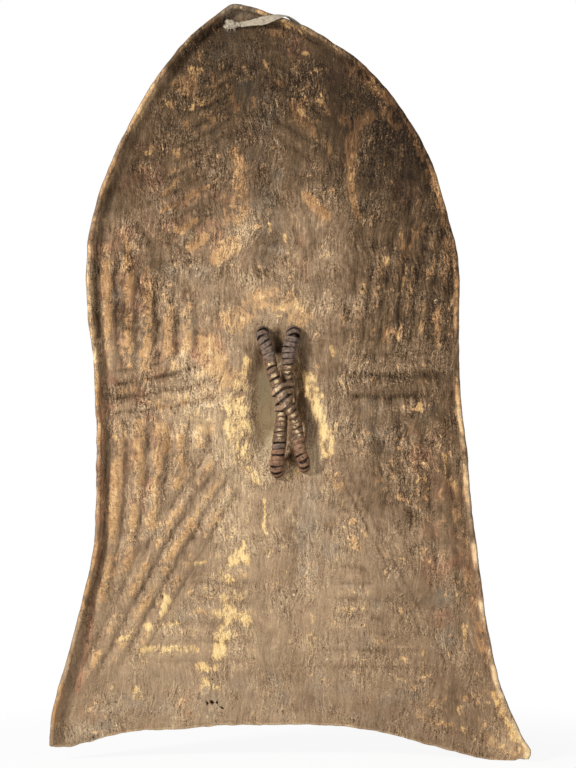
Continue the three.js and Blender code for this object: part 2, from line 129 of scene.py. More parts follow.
def smooth(share: Array | float) -> Array:
    """Ease a share from 0 to 1 with level ends."""
    t = np.clip(share, 0, 1)
    return t * t * (3 - 2 * t)


def unit(vectors: Array) -> Array:
    """Scale each row to length 1."""
    return vectors / np.maximum(np.linalg.norm(vectors, axis=-1, keepdims=True), TINY)


def spline(points: Array, fineness: int = 24) -> Array:
    """Run a centripetal curve through points.

    Args:
        points: The points that the curve passes through, one a row.
        fineness: Steps between two neighbouring points.

    Returns:
        Points along the curve, one a row.
    """
    padded = np.vstack([2 * points[0] - points[1], points, 2 * points[-1] - points[-2]])
    steps = np.linspace(0, 1, fineness, endpoint=False)[:, None]
    runs = []
    for a, b, c, d in zip(padded, padded[1:], padded[2:], padded[3:]):
        gaps = (np.linalg.norm(end - start) for start, end in ((a, b), (b, c), (c, d)))
        near, mid, far = (math.sqrt(max(float(gap), TINY)) for gap in gaps)
        leave = ((b - a) / near - (c - a) / (near + mid) + (c - b) / mid) * mid
        arrive = ((c - b) / mid - (d - b) / (mid + far) + (d - c) / far) * mid
        square = -3 * b + 3 * c - 2 * leave - arrive
        cube = 2 * b - 2 * c + leave + arrive
        runs.append(b + leave * steps + square * steps**2 + cube * steps**3)
    return np.vstack([*runs, points[-1:]])


def along(points: Array) -> Array:
    """Give the distance along a run of points at each of them."""
    return np.concatenate([[0.0], np.cumsum(np.linalg.norm(np.diff(points, axis=0), axis=1))])


def placed(points: Array, shares: Array) -> Array:
    """Find the points at shares of the length of a run of points."""
    lengths = along(points)
    return np.stack([np.interp(shares * lengths[-1], lengths, column) for column in points.T], axis=1)


def line_distance(places: Array, line: Array) -> tuple[Array, Array]:
    """Measure how far places lie from a line.

    Args:
        places: X and Z of each place.
        line: X and Z of the line's points.

    Returns:
        The distance of each place, and the share of the line's length at the nearest point.
    """
    best = np.full(len(places), np.inf)
    share = np.zeros(len(places))
    if len(line) == 1:
        return np.linalg.norm(places - line[0], axis=1), share
    lengths = along(line)
    for start, end, passed, total in zip(line, line[1:], lengths, lengths[1:]):
        run = end - start
        t = np.clip(((places - start) @ run) / max(float(run @ run), TINY), 0, 1)
        distance = np.linalg.norm(places - start - t[:, None] * run, axis=1)
        nearer = distance < best
        best[nearer] = distance[nearer]
        share[nearer] = (passed + t[nearer] * (total - passed)) / lengths[-1]
    return best, share


def turning(first: Array, second: Array) -> Array:
    """Give the cross product of flat vectors, which is positive where the second lies to the left."""
    return first[..., 0] * second[..., 1] - first[..., 1] * second[..., 0]


def upright(places: Array, y: Array | float = 0.0) -> Array:
    """Turn rows of X and Z into points, with a Y."""
    return np.insert(places, 1, y, axis=1)


@dataclass(frozen=True)
class Fade:
    """A value that goes from 0 at a start to its most at an end, with level ends."""

    start: float
    end: float
    most: float = 1.0

    def at(self, values: Array | float) -> Array:
        """Give the fade at values."""
        return self.most * smooth((values - self.start) / (self.end - self.start))


@dataclass(frozen=True)
class Lumps:
    """A natural unevenness, by the width of its largest lumps, its finer layers and its pattern's number."""

    size: float
    layers: int
    seed: int

    def at(self, points: Array) -> Array:
        """Give a value of about -1 to 1 for each point."""
        shift = Vector((self.seed * 7.31, self.seed * 3.77, self.seed * 5.19))
        places = (Vector(point) / self.size + shift for point in points)
        return np.array([noise.fractal(place, 1.0, 2.1, self.layers) for place in places])


@dataclass(frozen=True)
class Stroke:
    """A stain, worn patch, dent or wash of tone along a line on the bearer's side; some washes are painted
    shade or painted light.
    """

    line_pixels: Line
    reach_pixels: float
    strength: float = 1.0
    outer_share: float = 1.5

    def away(self, places: Array) -> Array:
        """Give how far places lie from the line, as shares of the stroke's reach."""
        distance, _ = line_distance(places, PHOTO.places(self.line_pixels))
        return distance / (self.reach_pixels * PHOTO.metres_per_pixel)

    def strength_at(self, places: Array) -> Array:
        """Give the stroke's strength at places, given as X and Z."""
        return self.strength * smooth(self.outer_share - self.away(places))

    def wash_at(self, places: Array) -> Array:
        """Give the stroke's strength at places where it fades out slowly, as a wash of colour does."""
        return self.strength * np.exp(-(self.away(places) ** 2))


def strokes(*rows: tuple[float | Pixel, ...]) -> tuple[Stroke, ...]:
    """Make strokes of rows that each give a reach, a strength and the line's pixels."""
    return tuple(Stroke(tuple(line), reach, strength) for reach, strength, *line in rows)


@dataclass(frozen=True)
class RidgeBand:
    """A family of pressed ridges that lie side by side, from a first line to a last one."""

    first_pixels: Line
    last_pixels: Line
    count: int
    height: float
    reach_pixels: float
    wear: float
    taper_share: float = 0.12
    groove_place: float = 1.75
    groove_width: float = 0.6
    probe_share: float = 0.02
    middle_shares: Colour = (0.45, 0.5, 0.55)
    overrun: float = 0.8
    overrun_fade: float = 0.35
    least_gap: float = 0.01 * MILLI

    def lines(self) -> list[Array]:
        """Give the crest line of each ridge, as X and Z."""
        first, last = PHOTO.places(self.first_pixels), PHOTO.places(self.last_pixels)
        return [spline(first * (1 - share) + last * share, 6) for share in np.linspace(0, 1, self.count)]

    def side_of(self, line: Array, share: Array, away: Array) -> Array:
        """Tell on which side of a line places lie, by its nearest share and the way from there."""
        ahead = placed(line, np.minimum(share + self.probe_share, 1))
        return turning(ahead - placed(line, np.maximum(share - self.probe_share, 0)), away)

    def shape_at(self, places: Array) -> Values:
        """Give the band's shape at places.

        Args:
            places: X and Z of each place.

        Returns:
            The height of the nearest crest there and the depth beside it, both from 0 to 1, the phase, which
            is a whole number on each crest and grows from the first to the last, and the band's presence.
        """
        crest = np.zeros(len(places))
        beside = np.zeros(len(places))
        reach = self.reach_pixels * PHOTO.metres_per_pixel
        lines = self.lines()
        sides, ends = [], []
        for index, line in enumerate(lines):
            distance, share = line_distance(places, line)
            end = smooth(np.minimum(share, 1 - share) / self.taper_share)
            crest = np.maximum(crest, end * np.exp(-((distance / reach) ** 2)))
            grooved = (distance - self.groove_place * reach) / (self.groove_width * reach)
            beside = np.maximum(beside, end * np.exp(-(grooved**2)))
            toward, other = (1, lines[index + 1]) if index + 1 < self.count else (-1, lines[index - 1])
            start, middle, finish = placed(line, np.array(self.middle_shares))
            handed = toward * np.sign(turning(finish - start, placed(other, np.array([0.5]))[0] - middle))
            side = self.side_of(line, share, places - placed(line, share))
            sides.append(distance * np.where(side * handed >= 0, 1, -1))
            ends.append(end)
        sides, ends = np.array(sides), np.array(ends)
        before = np.clip(np.sum(sides >= 0, axis=0) - 1, 0, self.count - 2)
        every = np.arange(len(places))
        gap = np.maximum(sides[before, every] - sides[before + 1, every], self.least_gap)
        share = sides[before, every] / gap
        phase = before + share
        within = np.clip(share, 0, 1)
        presence = ends[before, every] * (1 - within) + ends[before + 1, every] * within
        presence *= smooth((phase + self.overrun) / self.overrun_fade)
        presence *= smooth((self.count - 1 + self.overrun - phase) / self.overrun_fade)
        return {"crest": crest, "beside": beside * (1 - crest), "phase": phase, "presence": presence}


@dataclass
class HideForm:
    """The sizes of the hide's overall shape, as the frame has them."""

    height: float = 1.100
    width: float = 0.702
    thickness: float = 0.007
    behind_grip: float = 0.024
    side_sweep: float = 0.048
    crown_sweep: float = 0.044
    foot_sweep: float = 0.016
    rim_rise: float = 0.017
    rim_radius: float = 0.010
    foot_bevel: float = 0.004
    boss_depth: float = 0.052
    boss_line: float = 0.006
    boss_middle: float = -0.008
    boss_left_reach: float = 0.064
    boss_right_reach: float = 0.029
    boss_half_length: float = 0.098
    boss_floor_share: float = 0.25
    crown_share: float = 0.522
    foot_share: float = 0.48

    def swell(self, x: Array, z: Array) -> Array:
        """Give how far the boss swells to the front at X and Z."""
        reach = np.where(np.asarray(x) < self.boss_line, self.boss_left_reach, self.boss_right_reach)
        slope = 1 - self.boss_floor_share
        across = smooth((1 - np.abs(x - self.boss_line) / reach) / slope)
        lengthwise = smooth((1 - np.abs(z - self.boss_middle) / self.boss_half_length) / slope)
        return self.boss_depth * across * lengthwise

    def middle(self, x: Array, z: Array) -> Array:
        """Give Y of the middle of the hide's thickness at X and Z, without the turned rim."""
        side = self.side_sweep * (x / (self.width / 2)) ** 2
        crown = self.crown_sweep * (z / (self.height * self.crown_share)) ** 2
        foot = self.foot_sweep * (z / (self.height * self.foot_share)) ** 2
        return self.behind_grip - side - np.where(np.asarray(z) > 0, crown, foot) + self.swell(x, z)

    def face(self, x: float, z: float, side: Side) -> float:
        """Give Y of one face of the hide at X and Z."""
        return float(self.middle(x, z)) + side.value * self.thickness / 2


HIDE_FORM = HideForm()

LEFT_EDGE_SHARES = (
    (-0.486, -0.459), (-0.483, -0.425), (-0.47, -0.388), (-0.451, -0.348), (-0.43, -0.295), (-0.41, -0.242),
    (-0.395, -0.188), (-0.391, -0.122), (-0.391, -0.056), (-0.392, -0.003), (-0.398, 0.057), (-0.409, 0.11),
    (-0.412, 0.163), (-0.407, 0.212), (-0.389, 0.263), (-0.358, 0.315), (-0.318, 0.368), (-0.27, 0.421),
    (-0.204, 0.474), (-0.137, 0.511),
)
RIGHT_EDGE_SHARES = (
    (0.507, -0.476), (0.511, -0.467), (0.497, -0.453), (0.476, -0.423), (0.453, -0.388), (0.437, -0.348),
    (0.422, -0.297), (0.41, -0.242), (0.398, -0.182), (0.387, -0.122), (0.38, -0.062), (0.369, -0.003),
    (0.365, 0.064), (0.366, 0.13), (0.361, 0.19), (0.337, 0.251), (0.308, 0.313), (0.26, 0.369),
    (0.198, 0.422), (0.127, 0.462), (0.071, 0.483), (0.029, 0.497),
)
TOP_EDGE_SHARES = (
    (-0.137, 0.511), (-0.121, 0.518), (-0.106, 0.522), (-0.067, 0.518), (-0.025, 0.51), (0.002, 0.504),
    (0.029, 0.497),
)
FOOT_EDGE_SHARES = (
    (-0.486, -0.459), (-0.462, -0.459), (-0.424, -0.453), (-0.372, -0.445), (-0.31, -0.44), (-0.237, -0.439),
    (-0.154, -0.435), (-0.05, -0.434), (0.054, -0.434), (0.137, -0.437), (0.22, -0.445), (0.304, -0.458),
    (0.376, -0.469), (0.439, -0.477), (0.486, -0.48), (0.507, -0.476),
)

RIDGE_BANDS = {
    "waist left": RidgeBand(
        ((110, 379), (150, 373), (187, 362), (217, 350)), ((104, 408), (150, 403), (190, 396), (220, 388)),
        3, 2.8 * MILLI, 4.6, 0.42,
    ),
    "waist right": RidgeBand(
        ((342, 366), (395, 366), (446, 365)), ((342, 388), (395, 387), (448, 386)), 2, 2.2 * MILLI, 5.6, 0.16,
    ),
    "upright upper left": RidgeBand(
        ((108, 238), (106, 270), (106, 320), (110, 370)), ((188, 296), (187, 320), (186, 340), (185, 362)),
        5, 3.8 * MILLI, 4.6, 0.9,
    ),
    "upright lower left": RidgeBand(
        ((117, 420), (115, 480), (109, 550), (93, 628)), ((201, 420), (200, 430), (199, 440), (198, 450)),
        5, 4.0 * MILLI, 5.0, 1.05,
    ),
    "upright upper right": RidgeBand(
        ((378, 215), (367, 262), (359, 310), (356, 354)), ((454, 214), (447, 262), (441, 310), (438, 354)),
        6, 2.2 * MILLI, 4.0, 0.42,
    ),
    "fan upper right": RidgeBand(
        ((376, 122), (368, 168), (362, 214)), ((432, 150), (424, 180), (414, 214)), 5, 1.6 * MILLI, 4.0, 0.15,
    ),
    "upright lower right": RidgeBand(
        ((362, 410), (366, 440), (371, 465), (377, 492)), ((436, 410), (441, 480), (447, 550), (454, 610)),
        4, 2.2 * MILLI, 5.4, 0.3,
    ),
    "spoke lower left": RidgeBand(
        ((226, 440), (176, 514), (126, 600), (80, 690)), ((240, 474), (196, 548), (150, 630), (128, 672)),
        3, 3.4 * MILLI, 4.2, 0.78,
    ),
    "spoke lower right": RidgeBand(
        ((333, 453), (368, 520), (404, 590), (436, 650)), ((348, 520), (366, 556), (392, 606), (414, 650)),
        3, 2.1 * MILLI, 4.8, 0.3,
    ),
    "spoke upper left": RidgeBand(
        ((214, 300), (187, 274), (150, 226), (122, 184)), ((192, 306), (165, 284), (132, 242), (108, 206)),
        2, 1.4 * MILLI, 4.8, 0.24,
    ),
    "spoke upper right": RidgeBand(
        ((333, 250), (352, 196), (377, 113)), ((356, 262), (384, 206), (408, 143)), 2, 1.4 * MILLI, 5.4, 0.2,
    ),
    "slanting upper left": RidgeBand(
        ((196, 90), (218, 80), (238, 68)), ((140, 226), (184, 206), (224, 180)), 9, 1.7 * MILLI, 4.6, 0.4,
    ),
    "slanting upper right": RidgeBand(
        ((262, 66), (290, 82), (322, 104)), ((290, 226), (312, 242), (334, 262)), 9, 1.7 * MILLI, 4.8, 0.3,
    ),
    "median upper": RidgeBand(
        ((245, 148), (239, 185), (236, 215), (216, 254)), ((290, 150), (296, 190), (304, 220), (322, 256)),
        2, 2.0 * MILLI, 5.0, 0.7,
    ),
    "median lower": RidgeBand(
        ((272, 520), (276, 600), (280, 684)), ((314, 512), (312, 600), (310, 676)), 2, 1.6 * MILLI, 5.0, 0.2,
    ),
    "level lower left": RidgeBand(
        ((190, 558), (230, 557), (266, 558)), ((116, 655), (196, 655), (272, 655)), 6, 1.2 * MILLI, 5.4, 0.34,
    ),
    "level lower right": RidgeBand(
        ((320, 544), (350, 544), (380, 546)), ((318, 662), (380, 662), (442, 664)), 8, 1.5 * MILLI, 5.0, 0.3,
    ),
}

CREAM_STROKES = strokes(
    (3.5, 0.9, (246, 358), (244, 372)), (9, 0.66, (240, 380), (236, 396), (240, 410)),
    (9, 0.66, (232, 400), (230, 424), (238, 446)), (8, 0.58, (243, 424), (240, 452), (248, 466)),
    (7, 0.55, (250, 470), (256, 474)), (4, 1.0, (257, 483)), (8, 0.4, (238, 464), (248, 478)),
    (6.4, 0.82, (310, 376), (313, 392), (317, 408), (321, 424), (325, 438), (328, 453)),
    (4, 0.75, (316, 388), (322, 396)), (4.0, 0.8, (326, 428), (330, 434), (333, 443)),
    (5, 0.5, (290, 478), (296, 474)), (6, 0.9, (232, 562), (240, 556), (246, 562)),
    (3, 0.8, (243, 543), (243, 552)), (6, 0.62, (224, 578), (234, 586), (238, 598)),
    (6, 0.75, (222, 600), (228, 606)), (6, 0.8, (228, 612), (236, 618), (246, 624)),
    (5, 0.7, (214, 616), (226, 618)), (8, 0.72, (226, 628), (222, 642), (216, 656)),
    (7, 0.72, (163, 600), (160, 612)), (3.5, 0.62, (142, 628), (176, 625)),
    (4, 0.6, (118, 642), (126, 640)), (4.5, 0.7, (140, 652), (168, 650), (196, 652)),
    (5, 0.75, (196, 670), (214, 670)), (5, 0.65, (204, 684), (216, 690)),
    (3.5, 0.65, (135, 690), (138, 700)), (2.2, 0.85, (192, 566), (206, 565)),
    (1.7, 1.0, (263, 501), (265, 516), (263, 528), (266, 536)), (6, 0.3, (244, 500), (250, 520)),
    (2.0, 0.8, (244, 66), (251, 76)), (1.8, 0.7, (263, 58), (268, 68)), (2.4, 0.9, (304, 51), (307, 52)),
    (4.6, 0.78, (191, 68), (198, 69)), (3.6, 0.76, (185, 108), (191, 105)),
    (4.4, 0.76, (165, 100), (168, 104)), (4.0, 0.66, (197, 96), (200, 100)),
    (3.0, 0.66, (141, 156), (147, 152), (152, 147)), (2.8, 0.6, (172, 149), (179, 152)),
    (2.4, 0.6, (237, 151), (239, 157)), (3.2, 0.7, (299, 108), (301, 114)),
    (2.0, 0.6, (318, 98), (328, 110)), (2.2, 0.6, (311, 69), (330, 66)),
    (3.2, 0.62, (351, 166), (351, 178)), (3, 0.66, (415, 229), (417, 232)),
    (2.0, 0.66, (410, 263), (405, 278), (401, 292)), (2.8, 0.66, (405, 322), (400, 338)),
    (2.2, 0.66, (365, 284), (365, 292)), (1.8, 0.9, (269, 222), (271, 228)),
    (1.8, 0.8, (285, 232), (285, 240)), (3.5, 0.6, (282, 300), (280, 316)),
    (3, 0.6, (296, 296), (297, 306)), (2.6, 0.66, (387, 256), (387, 266)),
    (2.4, 0.6, (402, 232), (404, 240)), (2.0, 0.9, (332, 346), (333, 356)),
    (2.2, 0.8, (420, 405), (424, 412)), (3.2, 0.66, (446, 456), (448, 474)),
    (3.5, 0.52, (448, 478), (456, 484)), (1.8, 0.8, (404, 560), (408, 566)),
    (1.8, 0.8, (400, 658), (410, 660)), (3.0, 0.66, (466, 626), (466, 648)),
    (2.6, 0.55, (424, 655), (425, 680)), (3.0, 0.5, (430, 706), (448, 712), (462, 708)),
    (2.6, 0.55, (456, 728), (474, 732), (480, 716), (492, 700)),
    (2.2, 0.5, (446, 676), (452, 700), (462, 716)), (5.0, 0.75, (496, 694), (504, 716), (516, 738)),
    (7.0, 0.6, (520, 748), (528, 756)), (4.0, 0.66, (284, 22), (298, 24), (306, 32)),
    (4.0, 0.55, (372, 80), (384, 92)),
)
OCHRE_STROKES = strokes(
    (6.5, 0.9, (353, 136), (351, 160)), (4, 1.0, (351, 165), (352, 186), (355, 200), (359, 214)),
    (7, 0.7, (346, 118), (356, 124), (372, 116)), (8, 0.55, (386, 112), (400, 122)),
    (3.5, 0.85, (403, 236), (404, 246)), (2.8, 0.85, (424, 224), (414, 240), (407, 256)),
    (2.6, 0.75, (388, 326), (385, 340)), (3.6, 0.8, (439, 310), (438, 340)),
    (2.4, 0.75, (436, 258), (434, 272)), (6, 0.9, (308, 196), (318, 206), (326, 214)),
    (7, 0.7, (296, 104), (302, 120)), (3.4, 0.75, (228, 84), (232, 96), (236, 107)),
    (5, 0.8, (234, 150), (240, 158), (240, 176)), (7, 0.62, (178, 84), (192, 79), (188, 92)),
    (5, 0.7, (163, 101), (172, 103)), (3.4, 0.85, (184, 122), (186, 126)),
    (3.2, 0.75, (212, 117), (214, 121)), (3.4, 0.6, (210, 70), (214, 86)),
    (3.2, 0.7, (161, 132), (166, 134)), (4, 0.9, (236, 150), (240, 158)),
    (3.6, 0.75, (150, 150), (154, 146)), (4, 0.7, (176, 150), (180, 156)), (4, 0.8, (272, 30), (283, 34)),
    (3, 0.6, (290, 48), (292, 58)), (3, 0.75, (276, 76), (281, 84)), (2.8, 0.6, (252, 96), (254, 104)),
    (4, 0.75, (308, 118), (313, 132)), (2.6, 0.8, (322, 100), (330, 112)), (3, 0.7, (326, 140), (332, 152)),
    (2.6, 0.85, (162, 194), (170, 186), (178, 178)), (3.2, 0.8, (160, 210), (182, 200), (204, 186)),
    (4, 0.8, (176, 230), (186, 224), (196, 219)), (7, 0.95, (214, 258), (232, 244)),
    (6, 0.8, (190, 246), (204, 236)), (5, 0.9, (104, 262), (106, 300)), (4.5, 0.8, (126, 238), (129, 290)),
    (4, 0.6, (146, 268), (148, 306)), (6, 0.6, (122, 346), (130, 374)), (5, 0.6, (140, 352), (146, 372)),
    (14, 0.6, (232, 320), (262, 300), (290, 300), (300, 316)),
    (13, 0.72, (204, 340), (214, 366), (228, 380)),
    (6, 0.5, (120, 424), (116, 470), (112, 540), (106, 600)), (6, 0.7, (138, 424), (138, 480)),
    (7, 0.8, (160, 428), (164, 448)), (5, 0.6, (180, 456), (184, 476)), (10, 0.5, (196, 420), (210, 430)),
    (7, 0.5, (160, 404), (200, 396), (226, 392)), (7, 0.5, (334, 476), (342, 488)),
    (6, 0.6, (354, 542), (360, 550)), (5, 0.4, (424, 480), (428, 500)),
    (7, 0.6, (350, 62), (386, 92), (412, 124), (432, 168), (446, 214), (454, 270)),
    (6, 0.5, (452, 480), (462, 540), (474, 600), (486, 660)), (5, 0.5, (374, 470), (380, 480)),
    (4, 0.5, (430, 706), (450, 700), (478, 696), (496, 690)), (4, 0.5, (424, 720), (448, 726), (470, 734)),
    (3.5, 0.45, (446, 680), (452, 700)), (7, 0.5, (478, 736), (500, 744), (516, 750)),
    (6, 0.35, (360, 430), (364, 450)),
)
RUST_STROKES = strokes(
    (6, 1.0, (262, 342), (264, 356), (268, 364)), (14, 0.7, (398, 138), (402, 170), (408, 196)),
    (14, 0.6, (284, 36), (300, 50), (330, 70)), (10, 0.5, (340, 62), (352, 80)),
    (12, 0.4, (430, 250), (444, 330)), (8, 0.4, (300, 240), (304, 262)), (7, 0.5, (172, 316), (176, 350)),
    (5, 0.4, (126, 300), (130, 340)),
    (3.5, 0.9, (99, 412), (99, 470), (98, 540), (94, 590), (86, 640), (78, 690)),
    (40, 0.55, (130, 176), (170, 200), (200, 220)), (32, 0.6, (112, 250), (122, 300), (136, 350)),
    (14, 0.55, (424, 420), (432, 520), (442, 620)), (8, 0.6, (466, 500), (474, 580), (484, 650)),
    (24, 0.5, (116, 396), (150, 416), (132, 480), (126, 540)),
    (20, 0.6, (198, 336), (214, 360), (224, 390)), (12, 0.5, (440, 420), (446, 480), (452, 560)),
)
SLATE_STROKES = strokes(
    (11, 0.9, (312, 490), (309, 530), (306, 566)), (10, 0.7, (330, 512), (328, 548)),
    (9, 0.7, (112, 706), (160, 704), (204, 714)), (8, 0.8, (184, 616), (204, 606)),
    (9, 0.7, (444, 600), (448, 640)), (6, 0.9, (116, 288), (120, 304)), (18, 0.6, (262, 150), (268, 250)),
    (16, 0.5, (164, 250), (196, 276)), (16, 0.4, (300, 280), (340, 300)), (14, 0.5, (372, 410), (390, 440)),
    (22, 0.55, (222, 40), (250, 60), (262, 110)), (8, 1.2, (226, 15), (240, 9), (256, 14)),
    (14, 0.8, (76, 730), (110, 716)), (26, 0.35, (150, 704), (300, 700), (400, 716)),
    (9, 0.5, (380, 124), (372, 167), (364, 213)),
)
# Washes of tone over the bearer's side; the entries marked below are painted shadow and painted light round
# the grip, in the boss's hollow and inside the upper left rim.
TONE_AND_PAINTED_LIGHT_WASHES = strokes(
    (34, -0.1, (112, 165)), (30, -0.03, (218, 40), (250, 56), (290, 90)),
    (16, 0.04, (496, 700), (512, 735)), (14, 0.03, (74, 728), (104, 716)),
    (16, -0.07, (150, 262), (154, 300)), (30, -0.035, (132, 250), (140, 340)), (26, -0.05, (330, 345)),
    (26, 0.1, (205, 345), (230, 390)), (26, 0.07, (190, 412), (226, 440)),
    (24, 0.06, (250, 305), (290, 305)), (24, 0.03, (240, 470), (246, 560)),
    (30, 0.05, (310, 600), (316, 640)), (30, 0.03, (150, 640), (230, 640)),
    (10, -0.1, (104, 396), (130, 392)), (5, -0.08, (115, 384), (150, 379), (176, 374)),
    (4, -0.07, (350, 376), (440, 378)), (4, -0.06, (350, 397), (444, 398)),
    (9, -0.05, (382, 118), (374, 160), (366, 206), (352, 240)),
    # Painted shade on the boss's lit right wall beside the crossing, then painted light on the right cream
    # patch where the rods' shadow falls.
    (5, -0.13, (296, 350), (297, 385), (301, 420)), (7, 0.13, (313, 380), (320, 410), (330, 446)),
    # Painted shadow in the gaps between the rods at the top.
    (5.5, -0.34, (277, 332), (279, 346)), (4.5, -0.46, (278, 350), (281, 372)),
    # Painted shadow in the gap between the rods at the bottom, then painted shade on the lit wall beside the
    # crossing.
    (5.5, -0.34, (288, 424), (289, 460)), (4.5, -0.17, (297, 382), (299, 408)),
    # The first is painted shadow to the right of the rods.
    (4, -0.06, (303, 366), (305, 400)), (12, -0.09, (240, 380), (235, 420), (245, 462)),
    # Painted shade in the hollow's upper left and in the slit at its lower left.
    (6, -0.22, (258, 350), (260, 366)), (5, -0.14, (255, 418), (259, 442)),
    # Painted light over the cast shadow below the front rod's lower end, then painted light over the shade
    # inside the upper left rim.
    (7, 0.21, (311, 452), (313, 472)), (8, 0.17, (163, 74), (134, 126), (112, 178)),
    (12, 0.1, (500, 742), (524, 754)), (60, -0.03, (150, 250), (140, 400), (150, 560)),
    (22, -0.03, (215, 275), (225, 325)), (40, 0.03, (340, 560), (370, 690)),
    (16, -0.025, (90, 392), (200, 384)), (14, -0.035, (340, 378), (450, 380)),
    (40, -0.03, (380, 470), (420, 520)), (30, 0.03, (380, 130), (430, 180)),
    # The first is painted shade on the hollow's lower wall, which faces the lamp.
    (7, -0.06, (264, 446), (285, 450)), (14, -0.02, (400, 140), (404, 180)),
    (26, -0.035, (276, 500), (300, 600), (300, 660)), (9, 0.05, (352, 150), (350, 180)),
    (9, 0.06, (238, 160), (242, 240)), (14, 0.05, (310, 200), (330, 250)),
    (8, -0.12, (120, 312), (124, 330)), (4, -0.05, (105, 470), (103, 560)),
    (14, -0.03, (270, 700), (400, 716)), (9, 0.05, (276, 20), (330, 46), (390, 110)),
    (8, 0.16, (258, 15), (240, 11), (226, 14)), (4, 0.04, (206, 566), (196, 566)),
)
STAINS = {
    Mask.CREAM: CREAM_STROKES,
    Mask.OCHRE: OCHRE_STROKES,
    Mask.RUST: RUST_STROKES,
    Mask.SLATE: SLATE_STROKES,
}


@dataclass(frozen=True)
class Signal:
    """The value at one socket of a node tree, with sums and products written as on numbers."""

    sheet: "NodeSheet"
    socket: Socket

    def __add__(self, other: Value) -> "Signal":
        """Add another value."""
        return self.sheet.maths("ADD", self, other)

    def __sub__(self, other: Value) -> "Signal":
        """Take another value away."""
        return self.sheet.maths("SUBTRACT", self, other)

    def __rsub__(self, other: Value) -> "Signal":
        """Take this value away from a number."""
        return self.sheet.maths("SUBTRACT", other, self)

    def __mul__(self, other: Value) -> "Signal":
        """Multiply by another value."""
        return self.sheet.maths("MULTIPLY", self, other)

    def swing(self, gain: float) -> "Signal":
        """Turn a pattern of about 0 to 1 into one that swings round 0."""
        return self.sheet.maths("MULTIPLY_ADD", self, gain, -0.5 * gain)

    def fade(self, fade: Fade) -> "Signal":
        """Map the value by a fade."""
        sizes = {"Value": self, "From Min": fade.start, "From Max": fade.end, "To Max": fade.most}
        return self.sheet.made("ShaderNodeMapRange", sizes, interpolation_type="SMOOTHSTEP")


@dataclass(frozen=True)
class Pattern:
    """A noise, by its lumps in a metre each way, its finer layers and its roughness."""

    scale: float | Colour
    layers: float = 4.0
    roughness: float = 0.6
    turn: float = 0.0
    shift: float = 0.0


